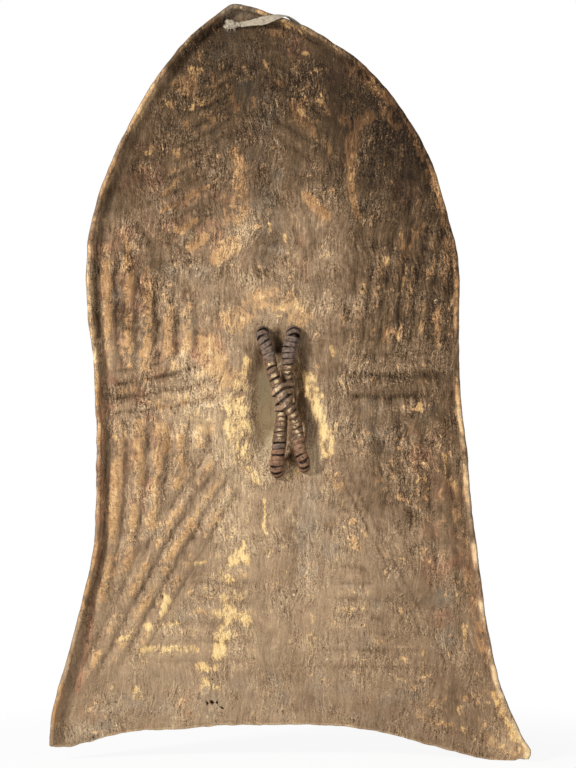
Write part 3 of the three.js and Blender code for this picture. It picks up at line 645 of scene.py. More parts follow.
class NodeSheet:
    """A node tree that is being written, with short calls for the nodes that the finishes use."""

    def __init__(self, tree: bpy.types.NodeTree) -> None:
        """Keep the tree and empty it."""
        self.tree = tree
        self.tree.nodes.clear()

    def node(self, kind: str, **settings: object) -> bpy.types.Node:
        """Add a node of a kind, with settings of its own properties, and return it."""
        made = self.tree.nodes.new(kind)
        for name, value in settings.items():
            setattr(made, name, value)
        return made

    def feed(self, socket: Socket, value: Value) -> None:
        """Link a socket to a signal, or set it to a value."""
        if isinstance(value, Signal):
            self.tree.links.new(value.socket, socket)
        elif value is not None:
            if socket.type == "RGBA" and len(value) == 3:
                value = (*value, 1.0)
            socket.default_value = value

    def fill(self, node: bpy.types.Node, values: dict[str | int, Value]) -> bpy.types.Node:
        """Feed inputs of a node, by their names or numbers, and return the node."""
        for name, value in values.items():
            self.feed(node.inputs[name], value)
        return node

    def signal(self, node: bpy.types.Node, output: str | int = 0) -> Signal:
        """Give the signal at one output of a node."""
        return Signal(self, node.outputs[output])

    def made(self, kind: str, values: dict[str | int, Value] | None = None, **settings: object) -> Signal:
        """Add a node, feed its inputs and return its first output."""
        return self.signal(self.fill(self.node(kind, **settings), values or {}))

    def maths(self, operation: str, *values: Value) -> Signal:
        """Add a Math node over signals or numbers and return its result."""
        return self.made("ShaderNodeMath", dict(enumerate(values)), operation=operation)

    def vector(self, operation: str, *values: Value) -> Signal:
        """Add a Vector Math node and return its result."""
        made = self.fill(self.node("ShaderNodeVectorMath", operation=operation), dict(enumerate(values)))
        return Signal(self, next(s for s in made.outputs if s.enabled))

    def scaled(self, vector: Value, number: Value) -> Signal:
        """Scale a vector by a number."""
        return self.made("ShaderNodeVectorMath", {"Vector": vector, "Scale": number}, operation="SCALE")

    def joined(self, across: Value, along: Value, up: Value = 0.0) -> Signal:
        """Make a vector of three values."""
        return self.made("ShaderNodeCombineXYZ", {"X": across, "Y": along, "Z": up})

    def part(self, vector: Value, axis: str) -> Signal:
        """Take one axis of a vector."""
        return self.signal(self.fill(self.node("ShaderNodeSeparateXYZ"), {"Vector": vector}), axis)

    def ramp(self, value: Value, stops: Stops) -> Signal:
        """Turn a value into a colour by stops, each a value and a colour as it looks."""
        made = self.fill(self.node("ShaderNodeValToRGB"), {"Fac": value})
        elements = made.color_ramp.elements
        while len(elements) < len(stops):
            elements.new(0.5)
        for element, (position, colour) in zip(elements, stops):
            element.position = position
            element.color = (*paint(colour), 1.0)
        return self.signal(made)

    def blend(self, share: Value, first: Value, second: Value) -> Signal:
        """Mix two colours by a share, which may be painted colours or signals."""
        made = self.node("ShaderNodeMix", data_type="RGBA")
        made.clamp_result = False
        return self.signal(self.fill(made, {0: share, 6: first, 7: second}), 2)

    def noise(self, place: Value, pattern: Pattern, output: str = "Fac") -> Signal:
        """Draw a noise at a place, stretched and turned about Y where its scale differs from way to way."""
        scale = pattern.scale
        if isinstance(scale, tuple):
            shift, turn = (pattern.shift,) * 3, (0.0, pattern.turn, 0.0)
            for change in ({"Location": shift}, {"Rotation": turn}, {"Scale": scale}):
                place = self.made("ShaderNodeMapping", {"Vector": place, **change}, vector_type="POINT")
            scale = 1.0
        made = self.node("ShaderNodeTexNoise", noise_dimensions="3D")
        sizes = {"Scale": scale, "Detail": pattern.layers, "Roughness": pattern.roughness}
        return self.signal(self.fill(made, {"Vector": place, **sizes}), output)

    def attribute(self, name: str) -> Signal:
        """Read a float attribute of the mesh."""
        return self.signal(self.node("ShaderNodeAttribute", attribute_name=name), "Fac")

    def bump(self, height: Value, distance: float, strength: float = 0.9) -> Signal:
        """Turn a height into a normal."""
        return self.made("ShaderNodeBump", {"Height": height, "Distance": distance, "Strength": strength})


def paint(colour: Colour) -> Colour:
    """Turn a colour as it looks into the linear one that a shader takes."""
    return tuple(c / 12.92 if c <= 0.04045 else ((c + 0.055) / 1.055) ** 2.4 for c in colour)


def swung(base: Signal, patterns: Sequence[Signal], gains: Gains) -> Signal:
    """Add patterns to a signal, each one swinging round 0 by its gain."""
    for pattern, gain in zip(patterns, gains):
        base = base + pattern.swing(gain)
    return base


def new_material(name: str) -> tuple[bpy.types.Material, NodeSheet, bpy.types.Node, Signal]:
    """Start a material.

    Args:
        name: The material's name.

    Returns:
        The material, its node sheet, its main shader and the place on the object.
    """
    material = bpy.data.materials.new(name)
    material.use_nodes = True
    sheet = NodeSheet(material.node_tree)
    shader = sheet.node("ShaderNodeBsdfPrincipled")
    sheet.fill(sheet.node("ShaderNodeOutputMaterial"), {"Surface": sheet.signal(shader)})
    return material, sheet, shader, sheet.signal(sheet.node("ShaderNodeTexCoord"), "Object")


@dataclass(frozen=True)
class HideFinish:
    """Dry untanned hide: fibrous, mottled and abraded along its ridges, with painted shade in its grooves,
    crease and pits.
    """

    plain: Stops = (
        (0.06, (0.13, 0.09, 0.055)),
        (0.22, (0.29, 0.222, 0.15)),
        (0.34, (0.42, 0.333, 0.243)),
        (0.46, (0.55, 0.45, 0.347)),
        (0.60, (0.70, 0.59, 0.465)),
        (0.80, (0.90, 0.79, 0.625)),
        (1.00, (1.0, 0.93, 0.77)),
    )
    worn: Stops = (
        (0.18, (0.35, 0.25, 0.165)),
        (0.36, (0.57, 0.43, 0.29)),
        (0.52, (0.75, 0.58, 0.405)),
        (0.66, (0.86, 0.70, 0.50)),
        (0.82, (0.97, 0.85, 0.66)),
    )
    bare: Stops = (
        (0.20, (0.55, 0.42, 0.28)),
        (0.42, (0.78, 0.62, 0.41)),
        (0.60, (0.94, 0.80, 0.55)),
        (0.80, (1.0, 0.90, 0.66)),
    )
    rust: Colour = (0.50, 0.36, 0.27)
    slate: Colour = (0.53, 0.475, 0.405)
    front: Colour = (0.42, 0.333, 0.243)
    specular: float = 0.12
    drift: Pattern = Pattern(11.0, roughness=0.5)
    drift_reach: float = 0.04
    wide: Pattern = Pattern(9.0, 3.0)
    cloud: Pattern = Pattern(42.0)
    mottle: Pattern = Pattern((170.0, 60.0, 80.0), 4.0, 0.68, shift=0.1)
    streak: Pattern = Pattern((260.0, 80.0, 16.0), 3.0, 0.7, -0.03, 0.2)
    fibre: Pattern = Pattern((430.0, 140.0, 62.0), 3.0, 0.65)
    grain: Pattern = Pattern((800.0, 260.0, 420.0), 3.0, 0.7, 0.1, 0.5)
    wrinkle: Pattern = Pattern((130.0, 130.0, 300.0), 4.0, 0.7, -0.15, 0.9)
    patch: Pattern = Pattern(31.0)
    unrest: Pattern = Pattern(19.0)
    hue: Pattern = Pattern(26.0)
    blotch: Pattern = Pattern(78.0, 2.0, 0.5)
    flecks: tuple[tuple[Pattern, Fade], ...] = (
        (Pattern((430.0, 430.0, 90.0), 3.0, 0.65, 0.05, 0.3), Fade(0.65, 0.71, 0.22)),
        (Pattern((400.0, 400.0, 120.0), 3.0, 0.65, 0.5, 0.7), Fade(0.67, 0.73, 0.24)),
        (Pattern((240.0, 240.0, 150.0), 3.0, 0.65, -0.4, 1.9), Fade(0.66, 0.72, 0.22)),
    )
    # Dark pits, darkened in the tone as painted shade and dented in the bump.
    pits: tuple[tuple[Pattern, Fade], ...] = (
        (Pattern((560.0, 560.0, 90.0), 3.0, 0.65, 0.0, 1.4), Fade(0.62, 0.68, 0.24)),
        (Pattern((430.0, 430.0, 340.0), 3.0, 0.65, 0.0, 2.4), Fade(0.63, 0.69, 0.26)),
    )
    phase_gains: Gains = (0.7, 0.35)
    crest_place: float = 0.02
    crest_fade: Fade = Fade(0.3, 0.05)
    crest_tone: float = 0.03
    # The groove line beside each crest lies on its side away from the light; it darkens the tone as painted
    # shade and dents the bump.
    groove_place: float = 0.42
    groove_fade: Fade = Fade(0.26, 0.0)
    groove_patchiness: float = 0.7
    groove_least: float = 0.35
    groove_painted_shade: float = -0.13
    groove_relief: float = -0.3
    patch_fade: Fade = Fade(0.36, 0.62)
    wear_patchiness: float = 0.75
    wear_least: float = 0.4
    # Painted shade in the crease inside the turned rim.
    crease_painted_shade: float = -0.04
    crown_rise: Fade = Fade(0.2, 0.4)
    crown_calm: float = 0.36
    crown_fineness: float = 0.3
    foot_rise: Fade = Fade(-0.34, 0.02, 0.4)
    least_life: float = 0.62
    wide_gain: float = 0.3
    stir_gains: Gains = (0.34, 0.32, 0.4)
    unrest_fade: Fade = Fade(0.38, 0.64, 1.1)
    least_unrest: float = 0.3
    fibre_gain: float = 0.6
    grain_gain: float = 1.0
    wrinkle_gain: float = 0.8
    wrinkle_relief: float = 1.2
    hue_gain: float = 3.5
    cool_fade: Fade = Fade(0.2, 1.2, 0.55)
    warm_fade: Fade = Fade(0.3, 1.2, 0.65)
    blotch_fade: Fade = Fade(0.6, 0.7, 0.5)
    blotch_tone: float = 0.16
    rubbed: tuple[tuple[Mask, float], ...] = ((Mask.OCHRE, 0.95), (Mask.LIP, 0.7), (Mask.CREAM, 0.85))
    rub_gains: Gains = (1.5, 1.5, 0.8, 0.8)
    rub_fade: Fade = Fade(0.32, 0.78, 0.95)
    bare_wear: float = 0.12
    bare_gains: Gains = (1.5, 2.0, 0.9, 0.9)
    bare_fade: Fade = Fade(0.42, 1.0, 0.97)
    cream_tone: float = 0.05
    front_share: float = 0.25
    relief_gains: Gains = (-1.0, 0.9, 0.45, 0.6)
    roughness: float = 0.55
    roughness_gain: float = 0.35
    bump_depth: float = 1.5 * MILLI
    bump_strength: float = 1.0

    def material(self) -> bpy.types.Material:
        """Build the hide's material.

        Returns:
            A material that reads the hide's masks and the place on the object.
        """
        material, sheet, shader, place = new_material("dry_hide")
        mask = {m: sheet.attribute(m.value) for m in Mask}
        sideways = sheet.vector("SUBTRACT", sheet.noise(place, self.drift, "Color"), (0.5, 0.5, 0.5))
        bent = sheet.vector("ADD", place, sheet.scaled(sideways, self.drift_reach))
        cloud, mottle, streak, fibre, grain, wrinkle = (sheet.noise(bent, pattern) for pattern in (
            self.cloud, self.mottle, self.streak, self.fibre, self.grain, self.wrinkle))

        phase = swung(mask[Mask.PHASE], (cloud, mottle), self.phase_gains)
        crest = self.peak(phase, self.crest_place, self.crest_fade)
        patchy = sheet.noise(bent, self.patch).fade(self.patch_fade)
        # The groove line, on the side of each crest away from the light: painted shade in the tone and a dent
        # in the bump.
        groove = self.peak(phase, self.groove_place, self.groove_fade) * mask[Mask.BAND]
        groove = groove * (patchy * self.groove_patchiness + self.groove_least)
        worn = crest * (patchy * self.wear_patchiness + self.wear_least) * mask[Mask.WEAR]

        rise = sheet.part(place, "Z")
        crown = rise.fade(self.crown_rise)
        lively = rise.fade(self.foot_rise) + self.least_life - crown * self.crown_calm
        wide = sheet.noise(place, self.wide).swing(self.wide_gain)
        stir = swung(wide, (cloud, mottle, streak), self.stir_gains)
        unrest = sheet.noise(bent, self.unrest).fade(self.unrest_fade) + self.least_unrest
        fine = fibre.swing(self.fibre_gain) + grain.swing(self.grain_gain)
        tone = mask[Mask.TONE] + stir * lively + fine * unrest * (lively + crown * self.crown_fineness)
        # Painted shade in the grooves and in the rim's crease.
        tone = tone + groove * self.groove_painted_shade + crest * mask[Mask.BAND] * self.crest_tone
        tone = tone + mask[Mask.CREASE] * self.crease_painted_shade + worn * wrinkle.swing(self.wrinkle_gain)
        tone, pitted = self.torn(sheet, bent, unrest, tone)

        hue = sheet.noise(bent, self.hue)
        cool = (mask[Mask.SLATE] + hue.swing(self.hue_gain)).fade(self.cool_fade)
        warm = (mask[Mask.RUST] + hue.swing(-self.hue_gain)).fade(self.warm_fade)
        blotch = sheet.noise(bent, self.blotch).fade(self.blotch_fade) * unrest
        rub = worn
        for stain, share in self.rubbed:
            rub = sheet.maths("MAXIMUM", rub, mask[stain] * share)
        rough = (cloud, mottle, fibre, grain)
        rub = swung(rub, rough, self.rub_gains) + blotch
        bare = swung(mask[Mask.CREAM] + worn * self.bare_wear, rough, self.bare_gains)
        paler = tone + blotch * self.blotch_tone
        palest = paler + mask[Mask.CREAM] * self.cream_tone
        colour = sheet.ramp(tone, self.plain)
        for share, layer in (
            (cool, sheet.ramp(tone, self.tinted(self.slate))),
            (warm, sheet.ramp(tone, self.tinted(self.rust))),
            (rub.fade(self.rub_fade), sheet.ramp(paler, self.worn)),
            (bare.fade(self.bare_fade), sheet.ramp(palest, self.bare)),
            (mask[Mask.FRONT] * self.front_share, paint(self.front)),
        ):
            colour = sheet.blend(share, colour, layer)

        relief = worn * wrinkle.swing(self.wrinkle_relief) + groove * self.groove_relief
        for pattern, gain in zip((pitted, mottle, fibre, grain), self.relief_gains):
            relief = relief + pattern * gain
        shader.inputs["Specular IOR Level"].default_value = self.specular
        sheet.fill(shader, {
            "Base Color": colour, "Roughness": mottle * self.roughness_gain + self.roughness,
            "Normal": sheet.bump(relief, self.bump_depth, self.bump_strength)})
        return material

    def peak(self, phase: Signal, share: float, fade: Fade) -> Signal:
        """Fade by how far a phase lies from some share past a whole number."""
        turned = phase.sheet.maths("FRACT", phase + (0.5 - share))
        return phase.sheet.maths("ABSOLUTE", turned - 0.5).fade(fade)

    def tinted(self, colour: Colour) -> Stops:
        """Give stops of one hue for the plain stops' tones."""
        own = sum(colour) / 3
        levels = [(position, sum(shade) / 3 / own) for position, shade in self.plain]
        return tuple((position, tuple(min(c * level, 1.0) for c in colour)) for position, level in levels)

    def torn(self, sheet: NodeSheet, place: Signal, unrest: Signal, tone: Signal) -> tuple[Signal, Signal]:
        """Strew torn fibres, scratches and pits over a tone, the pits darkened as painted shade.

        Args:
            sheet: The sheet that is being written.
            place: Where on the hide the tone is.
            unrest: How disturbed the hide is, which gathers flecks and pits into groups.
            tone: The tone without them.

        Returns:
            The tone with them, and how deep the pits are.
        """
        for pattern, fade in self.flecks:
            tone = tone + sheet.noise(place, pattern).fade(fade) * unrest
        first, second = (sheet.noise(place, pattern).fade(fade) * unrest for pattern, fade in self.pits)
        return tone - first - second, first + second


@dataclass(frozen=True)
class StripFinish:
    """Rawhide strip: dark and dull where it is out of reach, brown and polished where hands hold it, with a
    painted highlight on each turn's crown that faces the bearer's side and painted shade between the turns.
    """

    dull: Colour = (0.51, 0.43, 0.372)
    brown: Colour = (0.53, 0.415, 0.315)
    worn: Colour = (0.90, 0.79, 0.60)
    dark: Colour = (0.13, 0.085, 0.06)
    deep: Colour = (0.60, 0.455, 0.35)
    specular: float = 0.25
    strands: Pattern = Pattern(1.6, 5.0)
    patch: Pattern = Pattern(60.0, 5.0, 0.65)
    shade: Pattern = Pattern(210.0, 3.0)
    fine: Pattern = Pattern(900.0, 4.0, 0.65)
    strand_scale: Pixel = (3.0, 9.0)
    patchiness: float = 1.3
    # Where the painted highlight sits: on the crown of each turn, where it faces the bearer's side.
    crown_fade: Fade = Fade(0.78, 0.98)
    facing_fade: Fade = Fade(0.72, 0.97)
    polish: float = 0.8
    rub_gains: Gains = (1.6, 2.2, 1.4)
    strand_share: float = 0.6
    brown_fade: Fade = Fade(0.1, 0.75)
    deep_fade: Fade = Fade(0.0, -0.5)
    shade_fade: Fade = Fade(0.58, 0.36, 0.6)
    rub_fade: Fade = Fade(0.62, 0.96, 0.9)
    gap_fade: Fade = Fade(0.94, 0.66, 0.95)
    crack_fade: Fade = Fade(0.54, 0.62, 0.65)
    roughness: float = 0.72
    gloss: Fade = Fade(0.3, 1.0, 0.36)
    strand_relief: float = 0.7
    bump_depth: float = 0.8 * MILLI

    def material(self, name: str) -> bpy.types.Material:
        """Build the strip's material.

        Args:
            name: The material's name.

        Returns:
            A material that reads the strip's own attributes: turn, across, crown and handled.
        """
        material, sheet, shader, place = new_material(name)
        names = ("turn", "across", "crown", "handled")
        turn, across, crown, handled = (sheet.attribute(own) for own in names)
        length_scale, width_scale = self.strand_scale
        strands = sheet.noise(sheet.joined(turn * length_scale, across * width_scale), self.strands)
        patch, shade, fine = (sheet.noise(place, pattern) for pattern in (self.patch, self.shade, self.fine))
        tone = handled + (patch - 0.5) * self.patchiness
        # Painted highlight: a glint on each turn's crown where it faces the bearer's side, where hands hold
        # the strip; the noise added to it is real wear.
        normal = sheet.signal(sheet.node("ShaderNodeNewGeometry"), "Normal")
        facing = sheet.vector("DOT_PRODUCT", normal, (0.0, -1.0, 0.0))
        polish = crown.fade(self.crown_fade) * facing.fade(self.facing_fade) * self.polish
        rub = swung(polish * handled, (strands, patch, shade), self.rub_gains)
        crack = strands * self.strand_share + fine * (1 - self.strand_share)
        colour = sheet.blend(tone.fade(self.brown_fade), paint(self.dull), paint(self.brown))
        for share, layer in (
            (handled.fade(self.deep_fade), self.deep),
            (shade.fade(self.shade_fade), self.dark),
            # Real wear and the painted highlight, in one worn colour.
            (rub.fade(self.rub_fade), self.worn),
            # Painted shade in the gaps between the turns.
            (crown.fade(self.gap_fade), self.dark),
            (crack.fade(self.crack_fade), self.dark),
        ):
            colour = sheet.blend(share, colour, paint(layer))
        shader.inputs["Specular IOR Level"].default_value = self.specular
        relief = strands * self.strand_relief + fine * (1 - self.strand_relief)
        sheet.fill(shader, {
            "Base Color": colour, "Roughness": self.roughness - tone.fade(self.gloss),
            "Normal": sheet.bump(relief, self.bump_depth)})
        return material


@dataclass(frozen=True)
class RodFinish:
    """Hard dark rawhide of the rods inside their windings."""

    dark: Colour = (0.23, 0.17, 0.125)
    light: Colour = (0.40, 0.30, 0.22)
    roughness: float = 0.6
    lumps: Pattern = Pattern(240.0, 6.0, 0.65)
    fibres: Pattern = Pattern((1200.0, 1200.0, 200.0), 4.0)
    lump_share: float = 0.6
    light_fade: Fade = Fade(0.38, 0.66)
    bump_depth: float = 1.0 * MILLI
    bump_strength: float = 0.8

    def material(self) -> bpy.types.Material:
        """Build the rods' material and return it."""
        material, sheet, shader, place = new_material("hard_rawhide")
        mixed = sheet.noise(place, self.lumps) * self.lump_share
        mixed = mixed + sheet.noise(place, self.fibres) * (1 - self.lump_share)
        shader.inputs["Roughness"].default_value = self.roughness
        sheet.fill(shader, {
            "Base Color": sheet.blend(mixed.fade(self.light_fade), paint(self.dark), paint(self.light)),
            "Normal": sheet.bump(mixed, self.bump_depth, self.bump_strength)})
        return material


@dataclass(frozen=True)
class ThongFinish:
    """A greyed bast or cotton strip with loose lengthwise fibres."""

    pale: Colour = (0.71, 0.66, 0.575)
    grey: Colour = (0.56, 0.51, 0.43)
    dirt: Colour = (0.38, 0.32, 0.26)
    roughness: float = 0.92
    sheen: float = 0.25
    fibres: Pattern = Pattern(1.0, 5.0, 0.65)
    stain: Pattern = Pattern(110.0, 5.0)
    fuzz: Pattern = Pattern(1600.0, 3.0)
    fibre_scale: Pixel = (6.0, 9.0)
    fuzz_gain: float = 0.35
    pale_fade: Fade = Fade(0.4, 0.6)
    stain_fade: Fade = Fade(0.52, 0.72, 0.75)
    gap_fade: Fade = Fade(0.4, 0.3, 0.7)
    fuzz_relief: float = 0.3
    bump_depth: float = 0.7 * MILLI

    def material(self) -> bpy.types.Material:
        """Build the thong's material and return it."""
        material, sheet, shader, place = new_material("thong_fibre")
        flow = (sheet.attribute(name) * size for name, size in zip(("turn", "across"), self.fibre_scale))
        fibres = sheet.noise(sheet.joined(*flow), self.fibres)
        stain = sheet.noise(place, self.stain)
        fuzz = sheet.noise(place, self.fuzz)
        tone = fibres + (fuzz - 0.5) * self.fuzz_gain
        colour = sheet.blend(tone.fade(self.pale_fade), paint(self.grey), paint(self.pale))
        colour = sheet.blend(stain.fade(self.stain_fade), colour, paint(self.dirt))
        colour = sheet.blend(fibres.fade(self.gap_fade), colour, paint(self.dirt))
        shader.inputs["Roughness"].default_value = self.roughness
        shader.inputs["Sheen Weight"].default_value = self.sheen
        normal = sheet.bump(fibres + fuzz * self.fuzz_relief, self.bump_depth)
        sheet.fill(shader, {"Base Color": colour, "Normal": normal})
        return material


def new_piece(name: str, mesh: bpy.types.Mesh) -> Piece:
    """Make an object of a mesh, at the origin of the scene."""
    piece = bpy.data.objects.new(name, mesh)
    bpy.context.scene.collection.objects.link(piece)
    return piece


def mesh_of(name: str, points: Array, faces: Faces) -> bpy.types.Mesh:
    """Make a smooth mesh of points, one a row, and of the point numbers of each face."""
    mesh = bpy.data.meshes.new(name)
    mesh.from_pydata(points.tolist(), [], faces)
    mesh.polygons.foreach_set("use_smooth", [True] * len(mesh.polygons))
    mesh.update()
    return mesh


def tube_faces(rings: int, sides: int, first: int = 0) -> Faces:
    """Give the faces of a closed tube whose points run round one ring after another, from a first number."""
    point = first + np.arange(rings * sides).reshape(rings, sides)
    beside = np.roll(point, -1, axis=1)
    quads = np.stack([point[:-1], beside[:-1], beside[1:], point[1:]], axis=-1).reshape(-1, 4)
    return [*quads.tolist(), point[0][::-1].tolist(), point[-1].tolist()]


def give(mesh: bpy.types.Mesh, name: str, values: Array) -> None:
    """Store a float, or a vector in each row, for each vertex of a mesh."""
    values = np.asarray(values, np.float32)
    kind, field = ("FLOAT", "value") if values.ndim == 1 else ("FLOAT_VECTOR", "vector")
    mesh.attributes.new(name, kind, "POINT").data.foreach_set(field, values.ravel())


def settle(piece: Piece) -> Piece:
    """Turn a piece with modifiers into a plain mesh without them, and return it."""
    bpy.context.view_layer.update()
    graph = bpy.context.evaluated_depsgraph_get()
    made = bpy.data.meshes.new_from_object(piece.evaluated_get(graph), depsgraph=graph)
    piece.modifiers.clear()
    old = piece.data
    piece.data = made
    made.name = piece.name
    bpy.data.meshes.remove(old)
    return piece


def fastened(piece: Piece, node: str) -> Piece:
    """Let a piece ride on the root body and stand for a node, and return it."""
    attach(piece, "root")
    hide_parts(node)
    return piece


@dataclass(frozen=True)
class HideShading:
    """Where the hide is light or dark, by its own tone and by painted shade and painted light, pale at its
    lip, stained or worn, as masks for its finish.
    """

    form: HideForm
    plain_tone: float = 0.553
    front_tone: float = 0.43
    foot_edge_tone: float = 0.14
    middle: Fade = Fade(370, 310, 0.035)
    upper: Fade = Fade(300, 70, 0.275)
    right: Fade = Fade(280, 430, 0.22)
    right_easing: Fade = Fade(400, 560, 0.55)
    hollow_gain: float = 2.5
    # Tone inside the boss's hollow, lifted as painted light against the shadow that the lamp leaves there.
    hollow_painted_light_tone: float = 0.98
    # Painted shade that darkens the hollow towards its steep right wall.
    shade: Fade = Fade(-0.006, 0.012, 0.47)
    broad_down: Fade = Fade(300, 200, 0.2)
    broad_across: Fade = Fade(200, 170)
    lip: Fade = Fade(0.3, 0.7)
    lip_lumps: Lumps = Lumps(0.03, 4, 33)
    lip_level: float = 0.62
    lip_unevenness: float = 1.3
    lip_most: float = 1.2
    left_lip: Fade = Fade(420, 260, 0.2)
    left_lip_tone: float = -0.03
    right_lip: Fade = Fade(380, 420, 0.18)
    right_lip_tone: float = 0.14
    apex_lip: Fade = Fade(110, 50, 0.6)
    crease_in: Fade = Fade(0.005, 0.010)
    crease_out: Fade = Fade(0.020, 0.012)
    crease_foot: Fade = Fade(-0.47, -0.44)
    edge_lip: float = 0.3
    edge_lip_share: float = 0.6

    def masks(self, places: Array, relief: Values, details: Values) -> dict[Mask, Array]:
        """Work out the finish's masks on the bearer's side.

        Args:
            places: X and Z of each point.
            relief: The pressed pattern there.
            details: What the middle layer says of each point.

        Returns:
            A value for each point by mask.
        """
        form = self.form
        across, down = PHOTO.pixels(places).T
        x, z = places.T
        # Darker over the top and towards the right, the right less so lower down: partly soot on the hide and
        # partly painted fall-off of the light.
        tone = self.plain_tone - self.middle.at(down) - self.upper.at(down)
        tone -= self.right.at(across) * (1 - self.right_easing.at(down))
        # Inside the boss's hollow the tone is lifted as painted light against the shadow there, and darkened
        # towards its steep right wall as painted shade.
        hollow = smooth(self.hollow_gain * form.swell(x, z) / form.boss_depth)
        tone = tone * (1 - hollow) + hollow * (self.hollow_painted_light_tone - self.shade.at(x - form.boss_line))
        # Washes of tone, with painted shadow and painted light round the grip, in the hollow and inside the
        # upper left rim.
        tone += np.sum([wash.wash_at(places) for wash in TONE_AND_PAINTED_LIGHT_WASHES], axis=0)
        # The pale lip is the rim's own cut edge; over the upper left it is widened as painted light over the
        # shade inside the turned rim.
        broad = self.broad_down.at(down) * self.broad_across.at(across)
        lip = self.lip.at(details["rim"] + broad)
        lumps = self.lip_unevenness * self.lip_lumps.at(upright(places))
        lip *= np.clip(self.lip_level + lumps, 0, self.lip_most)
        left_tone = self.left_lip.at(down) + self.left_lip_tone
        tone += lip * np.where(x < 0, left_tone, self.right_lip.at(down) + self.right_lip_tone)
        # Painted shade in the crease just inside the turned rim, kept off the foot.
        distance = details["edge_distance"]
        crease = self.crease_in.at(distance) * self.crease_out.at(distance)
        crease *= np.where(details["foot"], 0, 1) * self.crease_foot.at(z)
        masks = {
            Mask.TONE: tone,
            Mask.PHASE: relief["phase"],
            Mask.BAND: relief["band"],
            Mask.WEAR: relief["wear"],
            Mask.LIP: lip * (1 - self.apex_lip.at(down)),
            Mask.CREASE: crease,
        }
        for mask, strokes in STAINS.items():
            masks[mask] = np.max([stroke.strength_at(places) for stroke in strokes], axis=0)
        return masks | {Mask.FRONT: np.zeros(len(places))}

    def front(self, masks: dict[Mask, Array]) -> dict[Mask, Array | float]:
        """Turn the bearer's side's masks into the front's, where no stain is known."""
        plain = {mask: 0.0 for mask in masks}
        plain |= {Mask.TONE: self.front_tone, Mask.FRONT: 1.0, Mask.PHASE: masks[Mask.PHASE] + 0.5}
        for mask, share in ((Mask.BAND, 0.5), (Mask.WEAR, 0.6), (Mask.LIP, 0.3)):
            plain[mask] = share * masks[mask]
        return plain


